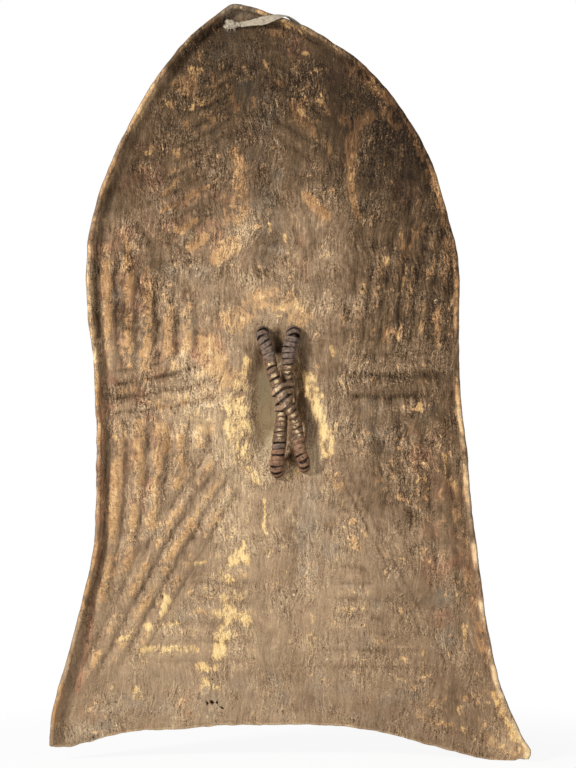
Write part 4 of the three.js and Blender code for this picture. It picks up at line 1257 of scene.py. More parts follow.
@dataclass
class MouldedHide:
    """The hide: one thick sheet with a turned rim, a boss for the hand and pressed ridges."""

    form: HideForm
    columns: int = 172
    rows: int = 234
    busy_columns: tuple[float, float] = (0.5, 0.07)
    busy_rows: tuple[float, float] = (0.43, 0.1)
    rim_steps: int = 5
    upright_steps: int = 2
    edge_steps: int = 4
    surfaces: tuple[Lumps, Lumps] = (Lumps(0.05, 6, 11), Lumps(0.05, 6, 12))
    unevenness: float = 0.6 * MILLI
    full_ridge: float = 3 * MILLI
    deepest_share: float = 1.2
    ridge_share: float = 0.7
    groove_share: float = 0.35
    ridge_end: float = 0.4
    ridge_lumps: Lumps = Lumps(0.028, 3, 41)
    ridge_unevenness: float = 0.45
    edge_bulge: float = 2.2 * MILLI
    edge_fray: Lumps = Lumps(0.012, 3, 21)
    fray_share: float = 0.6
    edge_wear: float = 1.1 * MILLI
    edge_wear_share: float = 0.3
    chips: Lumps = Lumps(0.022, 4, 3)
    nicks: Lumps = Lumps(0.03, 4, 5)
    bite_place: float = 0.055
    bite_reach: float = 0.05
    bite_share: float = 1.4
    edge_smoothing: int = 9
    core_hole: float = 13.3 * MILLI
    thong_hole: float = 9.3 * MILLI
    awl_hole: float = 2.4 * MILLI
    awl_slant: float = 0.4
    awl_pixels: Line = ((206.6, 705.5), (211.7, 704.8), (216.6, 705.0), (221.8, 710.8))
    drill_reach: float = 30 * MILLI
    drill_sides: int = 20

    def grid_shares(self, count: int, busy: float, reach: float) -> Array:
        """Spread grid lines over a side, closer together round one share.

        Args:
            count: How many gaps there are between the lines.
            busy: The share that the lines crowd round.
            reach: How far the crowding reaches, as a share.

        Returns:
            The lines' shares, from 0 to 1.
        """
        t = np.linspace(0, 1, 4 * count)
        density = 1 + np.exp(-(((t - busy) / reach) ** 2))
        total = np.concatenate([[0], np.cumsum((density[1:] + density[:-1]) / 2)])
        return np.interp(np.linspace(0, 1, count + 1), total / total[-1], t)

    def edge(self, shares: Line, places: Array) -> Array:
        """Give points at places along one edge of the outline, as X and Z."""
        return placed(spline(np.array(shares) * np.array([self.form.width, self.form.height])), places)

    def worn_edge(self, around: Array) -> tuple[Array, Array]:
        """Bite and wear the turned edge.

        Args:
            around: X and Z along the edge, up the left side, over the apex and down the right side.

        Returns:
            The edge after its wear, and the way inward at each point.
        """
        before = np.vstack([around[:1], around[:-1]])
        after = np.vstack([around[1:], around[-1:]])
        direction = unit(after - before)
        inward = np.stack([direction[:, 1], -direction[:, 0]], axis=1)
        kernel = np.ones(self.edge_smoothing) / self.edge_smoothing
        margin = self.edge_smoothing // 2
        padded = np.pad(inward, ((margin, margin), (0, 0)), mode="edge")
        inward = unit(np.stack([np.convolve(column, kernel, "valid") for column in padded.T], axis=1))
        x, z = around.T
        bitten = 1 + self.bite_share * np.exp(-(((x - self.bite_place) / self.bite_reach) ** 2)) * (z > 0)
        worn = self.edge_wear * (bitten * self.chips.at(upright(around)) - self.edge_wear_share)
        return around + inward * worn[:, None], inward

    def middle_layer(self) -> tuple[Array, Faces, Values]:
        """Lay out the middle of the hide's thickness.

        Returns:
            Its points, its faces, and for each point how far it stands up the rim, whether it lies on the
            lower edge, the way out past the sheet's end, and how far from the outline it is.
        """
        form = self.form
        columns, rows = self.columns, self.rows
        u = self.grid_shares(columns, *self.busy_columns)
        v = self.grid_shares(rows, *self.busy_rows)
        left, right = self.edge(LEFT_EDGE_SHARES, v), self.edge(RIGHT_EDGE_SHARES, v)
        top, foot = self.edge(TOP_EDGE_SHARES, u), self.edge(FOOT_EDGE_SHARES, u)
        around, inward = self.worn_edge(np.vstack([left, top[1:], right[:-1][::-1]]))
        border = around + inward * (form.thickness / 2 + form.rim_radius)
        inner_left, inner_top = border[: rows + 1], border[rows : rows + columns + 1]
        inner_right = border[rows + columns :][::-1]
        inner_foot = foot + np.outer(1 - u, inner_left[0] - foot[0]) + np.outer(u, inner_right[0] - foot[-1])
        inner_foot[1:-1, 1] += (self.nicks.at(upright(foot)) * self.edge_wear)[1:-1]

        uu, vv = (values[..., None] for values in np.meshgrid(u, v))
        patch = (1 - vv) * inner_foot[None] + vv * inner_top[None]
        patch = patch + (1 - uu) * inner_left[:, None] + uu * inner_right[:, None]
        patch -= (1 - uu) * (1 - vv) * inner_foot[0] + uu * (1 - vv) * inner_foot[-1]
        patch -= (1 - uu) * vv * inner_top[0] + uu * vv * inner_top[-1]
        flat = patch.reshape(-1, 2)
        layers = [upright(flat, form.middle(*flat.T))]
        rim = [np.zeros(len(flat))]
        on_foot = [np.repeat([True, False], [columns + 1, len(flat) - columns - 1])]
        outward = [np.tile([0.0, 0.0, -1.0], (len(flat), 1))]

        number = np.arange(len(flat)).reshape(rows + 1, columns + 1)
        corners = (number[:-1, :-1], number[:-1, 1:], number[1:, 1:], number[1:, :-1])
        faces = np.stack([corner.ravel() for corner in corners], axis=1).tolist()
        inner = np.concatenate([number[:, 0], number[-1, 1:], number[:-1, -1][::-1]])
        count = len(flat)
        ends = np.zeros(len(around), bool)
        ends[[0, -1]] = True
        rings = self.rim_steps + self.upright_steps
        for ring in range(1, rings + 1):
            angle = math.pi / 2 * min(ring / self.rim_steps, 1)
            extra = max(ring - self.rim_steps, 0) / self.upright_steps
            inset = form.thickness / 2 + form.rim_radius * (1 - math.sin(angle))
            rise = form.rim_radius * (1 - math.cos(angle)) + extra * (form.rim_rise - form.rim_radius)
            places = around + inward * inset
            layers.append(upright(places, form.middle(*places.T) - rise))
            rim.append(np.full(len(around), ring / rings))
            on_foot.append(ends)
            outward.append(np.where(ends[:, None], [0.0, 0.0, -1.0], [0.0, -1.0, 0.0]))
            outer = np.arange(count, count + len(around))
            faces += np.stack([inner[:-1], inner[1:], outer[1:], outer[:-1]], axis=1).tolist()
            inner = outer
            count += len(around)
        points = np.vstack(layers)
        distance, _ = line_distance(points[:, [0, 2]], np.vstack([around, foot[::-1]])[::2])
        details = {"rim": np.concatenate(rim), "foot": np.concatenate(on_foot)}
        return points, faces, details | {"outward": np.vstack(outward), "edge_distance": distance}

    def relief(self, places: Array) -> Values:
        """Work out the pressed pattern and its wear at places.

        Args:
            places: X and Z of each place.

        Returns:
            The height of the relief, and the phase, band and wear masks.
        """
        lumps = 1 + self.ridge_unevenness * self.ridge_lumps.at(upright(places))
        height, best, band_here, phase, wear = (np.zeros(len(places)) for _ in range(5))
        for band in RIDGE_BANDS.values():
            shape = band.shape_at(places)
            profile = shape["crest"] - self.groove_share * shape["beside"]
            height += self.ridge_share * band.height * profile * lumps
            presence = shape["presence"]
            stronger = presence > best
            gain = presence - best
            phase = np.where(stronger, shape["phase"], phase)
            wear = np.where(stronger, gain * band.wear, np.maximum(wear - presence * band.wear, 0))
            depth = min(band.height / self.full_ridge, self.deepest_share)
            band_here = np.where(stronger, gain * depth, np.maximum(band_here - presence * depth, 0))
            best = np.maximum(best, presence)
        return {"height": height, "phase": phase, "band": band_here, "wear": wear}

    def open_edge(self, faces: Faces) -> Array:
        """Follow the edge of a sheet of faces all round and give its points' numbers."""
        pairs = {(a, b) for face in faces for a, b in zip(face, face[1:] + face[:1])}
        follow = {b: a for a, b in pairs if (b, a) not in pairs}
        loop = [next(iter(follow))]
        while follow[loop[-1]] != loop[0]:
            loop.append(follow[loop[-1]])
        return np.array(loop)

    def mesh(self) -> bpy.types.Mesh:
        """Build the closed sheet with both faces, its rounded edge and its masks, and return it."""
        form = self.form
        layer, faces, details = self.middle_layer()
        places = layer[:, [0, 2]]
        relief = self.relief(places)
        layer[:, 1] -= relief["height"] * (1 - smooth(details["rim"] / self.ridge_end))
        first, second, third, fourth = np.array(faces).T
        diagonals = np.cross(layer[third] - layer[first], layer[fourth] - layer[second])
        normals = np.zeros_like(layer)
        for corner in (first, second, third, fourth):
            np.add.at(normals, corner, diagonals)
        normals = unit(normals)
        half = form.thickness / 2
        uneven = [lumps.at(layer) * self.unevenness for lumps in self.surfaces]
        bearer = layer + normals * (half + uneven[0])[:, None]
        front = layer - normals * (half + uneven[1])[:, None]
        front[details["foot"], 2] -= form.foot_bevel * np.abs(normals[details["foot"], 1])

        count = len(layer)
        points = [bearer, front]
        loop = self.open_edge(faces)
        faces = faces + [[corner + count for corner in face[::-1]] for face in faces]
        outward = details["outward"][loop]
        fray = 1 + self.fray_share * self.edge_fray.at(layer[loop])
        rings = [loop]
        total = 2 * count
        sources = [np.arange(count), np.arange(count)]
        for step in range(1, self.edge_steps):
            share = step / self.edge_steps
            bulge = self.edge_bulge * math.sin(math.pi * share) * fray
            points.append(bearer[loop] * (1 - share) + front[loop] * share + outward * bulge[:, None])
            rings.append(np.arange(total, total + len(loop)))
            sources.append(loop)
            total += len(loop)
        rings.append(loop + count)
        for near, far in zip(rings, rings[1:]):
            faces += np.stack([near, np.roll(near, -1), np.roll(far, -1), far], axis=1).tolist()
        mesh = mesh_of("hide", np.vstack(points), faces)

        shading = HideShading(form)
        source = np.concatenate(sources)
        masks = shading.masks(places, relief, details)
        plain = shading.front(masks)
        for mask, values in masks.items():
            spread = values[source]
            spread[count : 2 * count] = plain[mask]
            if mask is Mask.TONE:
                spread[2 * count :][details["foot"][source[2 * count :]]] += shading.foot_edge_tone
            if mask is Mask.LIP:
                spread[2 * count :] = shading.edge_lip + shading.edge_lip_share * spread[2 * count :]
            give(mesh, mask.value, spread)
        return mesh

    def cutters(self) -> list[Piece]:
        """Make the drills for the rods, the thong and the awl: round bars along Y, the awl's at a slant."""
        holes = [(x, z, self.core_hole, 0.0) for rod in ROD_PLANS for x, z in rod.ends()]
        holes.append((THONG_ROUTE[0][0][0], THONG_ROUTE[0][0][2], self.thong_hole, 0.0))
        holes += [(*PHOTO.places((pixel,))[0], self.awl_hole, self.awl_slant) for pixel in self.awl_pixels]
        turns = np.linspace(0, TAU, self.drill_sides, endpoint=False)
        faces = [face[::-1] for face in tube_faces(2, self.drill_sides)]
        drills = []
        for index, (x, z, diameter, slant) in enumerate(holes):
            ring = np.stack([x + diameter / 2 * np.cos(turns), z + diameter / 2 * np.sin(turns)], axis=1)
            y = self.form.middle(x, z)
            near, far = upright(ring, y - self.drill_reach), upright(ring, y + self.drill_reach)
            near[:, 2] -= slant * (self.drill_reach - self.form.thickness / 2)
            far[:, 2] += slant * (self.drill_reach + self.form.thickness / 2)
            drills.append(new_piece(f"drill_{index}", mesh_of("drill", np.vstack([near, far]), faces)))
        return drills

    def build(self) -> Piece:
        """Build and dress the hide and return it."""
        piece = new_piece("moulded_hide", self.mesh())
        drills = self.cutters()
        for drill in drills:
            cut = piece.modifiers.new(drill.name, "BOOLEAN")
            cut.object = drill
            cut.operation = "DIFFERENCE"
            cut.solver = "MANIFOLD"
        settle(piece)
        for drill in drills:
            bpy.data.objects.remove(drill)
        piece.data.materials.clear()
        piece.data.materials.append(HideFinish().material())
        return fastened(piece, "hide_shell")


@dataclass(frozen=True)
class RodPlan:
    """One rod of the grip: its run from hole to hole, and how its strip swells and is worn along it."""

    name: str
    run_shares: Line
    side: Side
    girth: tuple[Fade, ...]
    handled: tuple[Fade, ...]
    seed: int
    half_length: float = 0.105
    half_spread: float = 0.035
    bend: float = 0.016
    crossing: Fade = Fade(0.060, 0.018, 0.0092)
    stub: float = 0.015

    def ends(self) -> list[Pixel]:
        """Give X and Z of the rod's upper and lower hole."""
        places = [(across * self.half_spread, up * self.half_length) for up, across in self.run_shares]
        return [places[0], places[-1]]

    def path(self) -> Array:
        """Run the rod's axis from the tip behind the upper hole to the one behind the lower hole."""
        run = []
        for up, across in self.run_shares[1:-1]:
            z = up * self.half_length
            run.append((across * self.half_spread, self.side.value * self.crossing.at(abs(z)), z))
        ends = []
        for (x, z), up in zip(self.ends(), (1, -1)):
            turn = [math.pi / 2 * share for share in (1 / 3, 2 / 3, 1)]
            bend = [(x, self.bend * (1 - math.cos(a)), z - up * self.bend * (1 - math.sin(a))) for a in turn]
            tip = HIDE_FORM.face(x, z, Side.FRONT) + self.stub
            ends.append([*bend, (x, (tip + self.bend) / 2, z), (x, tip, z)])
        return spline(np.array([*ends[0][::-1], *run, *ends[1]], float))


ROD_PLANS = (
    RodPlan(
        "front",
        ((0.924, -0.9), (0.72, -0.73), (0.52, -0.58), (0.31, -0.42), (0, -0.06), (-0.2, 0.33), (-0.35, 0.49),
         (-0.6, 0.63), (-0.81, 0.73), (-0.973, 0.84)),
        Side.BEARER,
        girth=(Fade(0.04, 0.08, 0.10), Fade(-0.02, -0.06, -0.04)),
        handled=(Fade(0.062, 0.042), Fade(-0.052, -0.062, -1.6)),
        seed=8,
    ),
    RodPlan(
        "rear",
        ((0.924, 0.38), (0.72, 0.25), (0.5, 0.17), (0.26, 0.12), (0, 0.01), (-0.3, -0.1), (-0.6, -0.19),
         (-0.83, -0.26), (-1.029, -0.3)),
        Side.FRONT,
        girth=(Fade(0.04, 0.075, 0.24), Fade(-0.03, -0.06, 0.22), Fade(-0.045, -0.095, -0.05)),
        handled=(Fade(0.062, 0.042), Fade(-0.066, -0.076, -1.8)),
        seed=3,
    ),
)


@dataclass(frozen=True)
class Strip:
    """A strip's section, its unevenness and grain, the length of one turn and the radius that it winds at."""

    width: float
    thickness: float
    unevenness: float
    grain: float
    pitch: float = 0.030
    core_radius: float = 0.0


@dataclass
class StripTrees:
    """Geometry node trees that lay a domed strip along a line, or wind it round one."""

    profile_sides: int = 14
    lumps: Pattern = Pattern(140.0, 3.0, 0.5)
    drift: Pattern = Pattern(75.0, 2.0, 0.5)
    breadth: Pattern = Pattern(90.0, 2.0, 0.5)
    grain: Pattern = Pattern(420.0, 3.0, 0.5)
    drift_angle: float = 7.0
    least_breadth: float = 0.62
    breadth_swing: float = 0.76
    lump_middle: float = 0.45
    lump_gain: float = 3.0
    grain_gain: float = 4.0

    def __post_init__(self) -> None:
        """Build both trees."""
        self.wound = self.build("wound_strip", winds=True)
        self.laid = self.build("laid_strip", winds=False)

    def build(self, name: str, winds: bool) -> bpy.types.NodeTree:
        """Write one tree.

        Args:
            name: The tree's name.
            winds: Whether the strip winds round the line, or lies along it and faces its outward attribute.

        Returns:
            The tree.
        """
        tree = bpy.data.node_groups.new(name, "GeometryNodeTree")
        kinds = {"line": "Geometry", "stations": "Int", "seed": "Int", "finish": "Material"}
        kinds |= {size.name: "Float" for size in fields(Strip)}
        for label, kind in kinds.items():
            tree.interface.new_socket(label, in_out="INPUT", socket_type=f"NodeSocket{kind}")
        tree.interface.new_socket("Geometry", in_out="OUTPUT", socket_type="NodeSocketGeometry")
        sheet = NodeSheet(tree)
        entry = sheet.node("NodeGroupInput")
        given = {label: sheet.signal(entry, label) for label in kinds}
        seed = given["seed"]
        curve = sheet.made("GeometryNodeMeshToCurve", {0: given["line"]})
        stations = {"Curve": curve, "Count": given["stations"]}
        curve = sheet.made("GeometryNodeResampleCurve", stations, mode="COUNT")
        passed = sheet.signal(sheet.node("GeometryNodeSplineParameter"), "Length")
        curve = self.store(curve, "turn", sheet.maths("DIVIDE", passed, given["pitch"]))
        reach = (self.noise(seed, self.lumps) - self.lump_middle) * given["unevenness"] * self.lump_gain
        if winds:
            angle = self.named(sheet, "turn") * TAU + self.noise(seed, self.drift).swing(self.drift_angle)
            normal, tangent = sheet.made("GeometryNodeInputNormal"), sheet.made("GeometryNodeInputTangent")
            ahead = sheet.scaled(normal, sheet.maths("COSINE", angle))
            aside = sheet.scaled(sheet.vector("CROSS_PRODUCT", tangent, normal), sheet.maths("SINE", angle))
            curve = self.store(curve, "outward", sheet.vector("ADD", ahead, aside), "FLOAT_VECTOR")
            reach = given["core_radius"] * self.named(sheet, "girth") + reach
        outward = self.named(sheet, "outward", "FLOAT_VECTOR")
        lifted = sheet.scaled(outward, reach)
        curve = sheet.made("GeometryNodeSetPosition", {"Geometry": curve, "Offset": lifted})
        curve = sheet.made("GeometryNodeSetCurveNormal", {"Curve": curve, "Normal": outward}, mode="FREE")

        circle = {"Resolution": self.profile_sides, "Radius": 0.5}
        profile = sheet.made("GeometryNodeCurvePrimitiveCircle", circle, mode="RADIUS")
        around = sheet.signal(sheet.node("GeometryNodeSplineParameter"), "Factor")
        profile = self.store(profile, "across", around)
        outer = sheet.part(sheet.made("GeometryNodeInputPosition"), "X") + 0.5
        profile = self.store(profile, "crown", outer)
        section = sheet.joined(given["thickness"], given["width"], 1.0)
        profile = sheet.made("GeometryNodeTransform", {"Geometry": profile, "Scale": section})
        spread = self.noise(seed + 9.0, self.breadth) * self.breadth_swing + self.least_breadth
        sweep = {"Curve": curve, "Profile Curve": profile, "Scale": self.named(sheet, "breadth") * spread}
        strip = sheet.made("GeometryNodeCurveToMesh", sweep | {"Fill Caps": True})
        depth = (self.noise(seed, self.grain) - 0.5) * given["grain"] * self.grain_gain
        grained = sheet.scaled(sheet.made("GeometryNodeInputNormal"), depth)
        strip = sheet.made("GeometryNodeSetPosition", {"Geometry": strip, "Offset": grained})
        strip = sheet.made("GeometryNodeSetShadeSmooth", {"Geometry": strip})
        strip = sheet.made("GeometryNodeRealizeInstances", {"Geometry": strip})
        strip = sheet.made("GeometryNodeSetMaterial", {"Geometry": strip, "Material": given["finish"]})
        sheet.fill(sheet.node("NodeGroupOutput"), {0: strip})
        return tree

    def noise(self, seed: Signal, pattern: Pattern) -> Signal:
        """Draw a noise over the geometry, picked by a seed."""
        sheet = seed.sheet
        place = sheet.made("GeometryNodeInputPosition")
        sizes = {"Scale": pattern.scale, "Detail": pattern.layers, "Roughness": pattern.roughness}
        made = sheet.node("ShaderNodeTexNoise", noise_dimensions="4D")
        return sheet.signal(sheet.fill(made, {"Vector": place, "W": seed, **sizes}), "Fac")

    def store(self, geometry: Signal, name: str, value: Signal, kind: str = "FLOAT") -> Signal:
        """Store a named attribute on a geometry's points and return the geometry."""
        sheet = geometry.sheet
        made = sheet.node("GeometryNodeStoreNamedAttribute", data_type=kind, domain="POINT")
        sheet.feed(next(s for s in made.inputs if s.name == "Value" and s.enabled), value)
        return sheet.signal(sheet.fill(made, {"Geometry": geometry, "Name": name}))

    def named(self, sheet: NodeSheet, name: str, kind: str = "FLOAT") -> Signal:
        """Read a named attribute."""
        made = sheet.node("GeometryNodeInputNamedAttribute", data_type=kind)
        return sheet.signal(sheet.fill(made, {"Name": name}), "Attribute")


@dataclass
class StripLine:
    """The line that a strip follows, with what varies along it."""

    points: Array
    outward: Array | None = None
    girth: Array | float = 1.0
    breadth: Array | float = 1.0
    handled: Array | float = 1.0
    closed: bool = False

    def piece(self, name: str, tree: bpy.types.NodeTree, strip: Strip, **settings: object) -> Piece:
        """Lay or wind a strip on the line.

        Args:
            name: The piece's name.
            tree: The node tree that makes the strip.
            strip: The strip's sizes.
            settings: The tree's other inputs: stations, seed and finish.

        Returns:
            The piece as a plain mesh.
        """
        count = len(self.points)
        mesh = bpy.data.meshes.new(name)
        edges = [(i, (i + 1) % count) for i in range(count if self.closed else count - 1)]
        mesh.from_pydata(self.points.tolist(), edges, [])
        for label, values in (("girth", self.girth), ("breadth", self.breadth), ("handled", self.handled)):
            give(mesh, label, np.broadcast_to(values, count))
        if self.outward is not None:
            give(mesh, "outward", self.outward)
        piece = new_piece(name, mesh)
        modifier = piece.modifiers.new("strip", "NODES")
        modifier.node_group = tree
        items = {item.name: item.identifier for item in tree.interface.items_tree if item.in_out == "INPUT"}
        for label, value in (asdict(strip) | settings).items():
            modifier[items[label]] = value
        return settle(piece)


@dataclass
class BoundGrip:
    """The hand grip: two rods with a strip wound on each, and a lashing where they cross."""

    trees: StripTrees
    rod: Strip = Strip(0.012, 0.012, 0.0, 0.5 * MILLI, pitch=0.0080)
    wrapping: Strip = Strip(0.0092, 0.0034, 0.7 * MILLI, 0.22 * MILLI, pitch=0.0080, core_radius=0.0074)
    binding: Strip = Strip(0.0100, 0.0034, 0.5 * MILLI, 0.25 * MILLI, pitch=0.06)
    core_points: int = 120
    core_stations: int = 240
    core_seed: int = 4
    core_tip_breadth: float = 0.62
    core_tip: Fade = Fade(0, 0.012, 0.38)
    wrap_start: float = 0.024
    wrap_points: int = 160
    stations_a_turn: int = 44
    ripple: float = 0.04
    ripples_a_metre: float = 60.0
    lashing_turns: int = 3
    lashing_points_a_turn: int = 60
    lashing_pitch: float = 0.011
    lashing_top: float = 0.017
    lashing_span: float = 0.09
    lashing_radius: float = 0.0104
    lashing_stretch: Colour = (1.1, 1.0, 0.0)
    lashing_slope: float = 0.26
    lashing_corner: float = 0.25
    lashing_tip_breadth: float = 0.6
    lashing_tip: Fade = Fade(0, 0.3, 0.4)
    lashing_handled: float = 0.98
    lashing_seed: int = 6
    binding_finish: StripFinish = StripFinish(brown=(0.68, 0.56, 0.46), dull=(0.62, 0.5, 0.42))

    def __post_init__(self) -> None:
        """Run the rods' paths and make the finishes."""
        self.paths = {plan.name: plan.path() for plan in ROD_PLANS}
        self.strip_look = StripFinish().material("grip_strip")
        self.binding_look = self.binding_finish.material("grip_binding")
        self.rod_look = RodFinish().material()

    def core(self, plan: RodPlan) -> Piece:
        """Build one rod, a rawhide bar with rounded ends."""
        shares = np.linspace(0, 1, self.core_points)
        path = placed(self.paths[plan.name], shares)
        breadth = self.core_tip_breadth + self.core_tip.at(np.minimum(shares, 1 - shares))
        piece = StripLine(path, outward=self.across(path), breadth=breadth).piece(
            f"rod_{plan.name}", self.trees.laid, self.rod, stations=self.core_stations, seed=self.core_seed,
            finish=self.rod_look,
        )
        return fastened(piece, f"grip_core_{plan.name}")

    def across(self, path: Array) -> Array:
        """Give a direction square to a path at each point, without sudden turns."""
        tangents = unit(np.gradient(path, axis=0))
        sideways = np.tile([1.0, 0.0, 0.0], (len(path), 1))
        return unit(sideways - tangents * np.sum(sideways * tangents, axis=1, keepdims=True))

    def wrap(self, plan: RodPlan) -> Piece:
        """Wind the strip on one rod, from near the hide round the run and back to near the hide."""
        full = self.paths[plan.name]
        length = along(full)[-1]
        edge = self.wrap_start / length
        path = placed(full, np.linspace(edge, 1 - edge, self.wrap_points))
        z = path[:, 2]
        girth = 1 + self.ripple * np.sin(z * self.ripples_a_metre) + sum(fade.at(z) for fade in plan.girth)
        handled = sum(fade.at(z) for fade in plan.handled)
        turns = length * (1 - 2 * edge) / self.wrapping.pitch
        piece = StripLine(path, girth=girth, handled=handled).piece(
            f"wrap_{plan.name}", self.trees.wound, self.wrapping, stations=int(turns * self.stations_a_turn),
            seed=plan.seed, finish=self.strip_look,
        )
        return fastened(piece, f"grip_wrap_{plan.name}")

    def lashing(self) -> Piece:
        """Bind the rods where they cross, with slanting turns of the same strip."""
        count = self.lashing_turns * self.lashing_points_a_turn
        turn = np.linspace(0, self.lashing_turns, count)
        way = np.stack([np.cos(TAU * turn), -np.sin(TAU * turn), np.zeros(count)], axis=1)
        level = self.lashing_top - self.lashing_pitch * turn
        z = level + self.lashing_slope * self.lashing_radius * 2 * way[:, 0]
        rods = []
        for plan in ROD_PLANS:
            run = self.paths[plan.name]
            run = run[np.abs(run[:, 2]) < self.lashing_span][::-1]
            rods.append(np.stack([np.interp(z, run[:, 2], run[:, axis]) for axis in range(3)], axis=1))
        half = (rods[0] - rods[1]) / 2
        facing = np.sum(way * unit(half), axis=1)
        share = np.clip(facing / self.lashing_corner, -1, 1)[:, None]
        reach = np.array(self.lashing_stretch) * self.lashing_radius
        path = (rods[0] + rods[1]) / 2 + half * share + way * reach
        breadth = self.lashing_tip_breadth + self.lashing_tip.at(np.minimum(turn, self.lashing_turns - turn))
        piece = StripLine(path, outward=way, breadth=breadth, handled=self.lashing_handled).piece(
            "crossing_binding", self.trees.laid, self.binding, stations=count, seed=self.lashing_seed,
            finish=self.binding_look,
        )
        return fastened(piece, "crossing_lashing")

    def build(self) -> list[Piece]:
        """Build the whole grip and return its pieces."""
        pieces = [make(plan) for plan in ROD_PLANS for make in (self.core, self.wrap)]
        return [*pieces, self.lashing()]


@dataclass
class StopperKnots:
    """The ring knots that hold the rods' ends on the front of the hide."""

    trees: StripTrees
    leads: int = 3
    bights: int = 4
    points: int = 260
    ring_radius: float = 0.0090
    swing: float = 0.0023
    height: float = 0.0130
    strand: Strip = Strip(0.0056, 0.0046, 0.3 * MILLI, 0.25 * MILLI)
    handled: float = 0.4
    finish: StripFinish = StripFinish(
        dull=(0.27, 0.215, 0.17), brown=(0.36, 0.27, 0.2), worn=(0.56, 0.45, 0.34))
    names: tuple[tuple[str, int, str], ...] = (
        ("front", 0, "upper_left"),
        ("rear", 0, "upper_right"),
        ("rear", 1, "lower_left"),
        ("front", 1, "lower_right"),
    )

    def build(self) -> list[Piece]:
        """Build the four knots and return them."""
        plans = {plan.name: plan for plan in ROD_PLANS}
        rawhide = self.finish.material("knot_rawhide")
        pieces = []
        for seed, (rod, end, place) in enumerate(self.names):
            x, z = plans[rod].ends()[end]
            centre = np.array([x, HIDE_FORM.face(x, z, Side.FRONT) + self.height / 2, z])
            turn = np.linspace(0, TAU * self.leads, self.points, endpoint=False) + seed
            lay = turn * self.bights / self.leads
            way = np.stack([np.cos(turn), np.zeros(self.points), np.sin(turn)], axis=1)
            lift = np.outer((self.height - self.strand.thickness) / 2 * np.sin(lay), [0, 1, 0])
            away = way * (self.swing * np.cos(lay))[:, None] + lift
            path = centre + way * self.ring_radius + away
            line = StripLine(path, outward=unit(away), handled=self.handled, closed=True)
            piece = line.piece(
                f"stopper_knot_{place}", self.trees.laid, self.strand, stations=self.points, seed=seed,
                finish=rawhide,
            )
            pieces.append(fastened(piece, f"front_knot_{place}"))
        return pieces


THONG_ROUTE = (
    ((-0.076, -0.021, 0.546), (1, 0, 0.2)),
    ((-0.076, -0.013, 0.546), (1, 0, 0.2)),
    ((-0.073, -0.0084, 0.5454), (0.6, -0.8, 0)),
    ((-0.066, -0.0076, 0.5435), (0, -1, 0)),
    ((-0.050, -0.0092, 0.537), (0, -1, 0)),
    ((-0.030, -0.0074, 0.5275), (0, -1, 0)),
    ((-0.012, -0.0052, 0.519), (0, -1, 0)),
    ((0.004, -0.0034, 0.5125), (0, -1, 0)),
    ((0.018, -0.0018, 0.5105), (0, -1, 0)),
    ((0.028, -0.0016, 0.5165), (0, -1, 0)),
    ((0.0315, -0.0042, 0.527), (-0.2, -1, -0.2)),
    ((0.0285, -0.0095, 0.5375), (-0.4, -0.8, -0.5)),
    ((0.021, -0.0165, 0.547), (-0.45, -0.6, -0.65)),
    ((0.012, -0.0245, 0.5535), (-0.4, -0.4, -0.8)),
    ((0.002, -0.033, 0.558), (-0.2, 0.1, -0.95)),
    ((-0.009, -0.0384, 0.5563), (0, 0.85, -0.5)),
    ((-0.024, -0.0374, 0.552), (0, 1, 0)),
    ((-0.042, -0.0324, 0.549), (0.1, 1, 0)),
    ((-0.056, -0.0282, 0.547), (0.2, 1, 0)),
    ((-0.0652, -0.0274, 0.546), (0, 1, 0)),
)


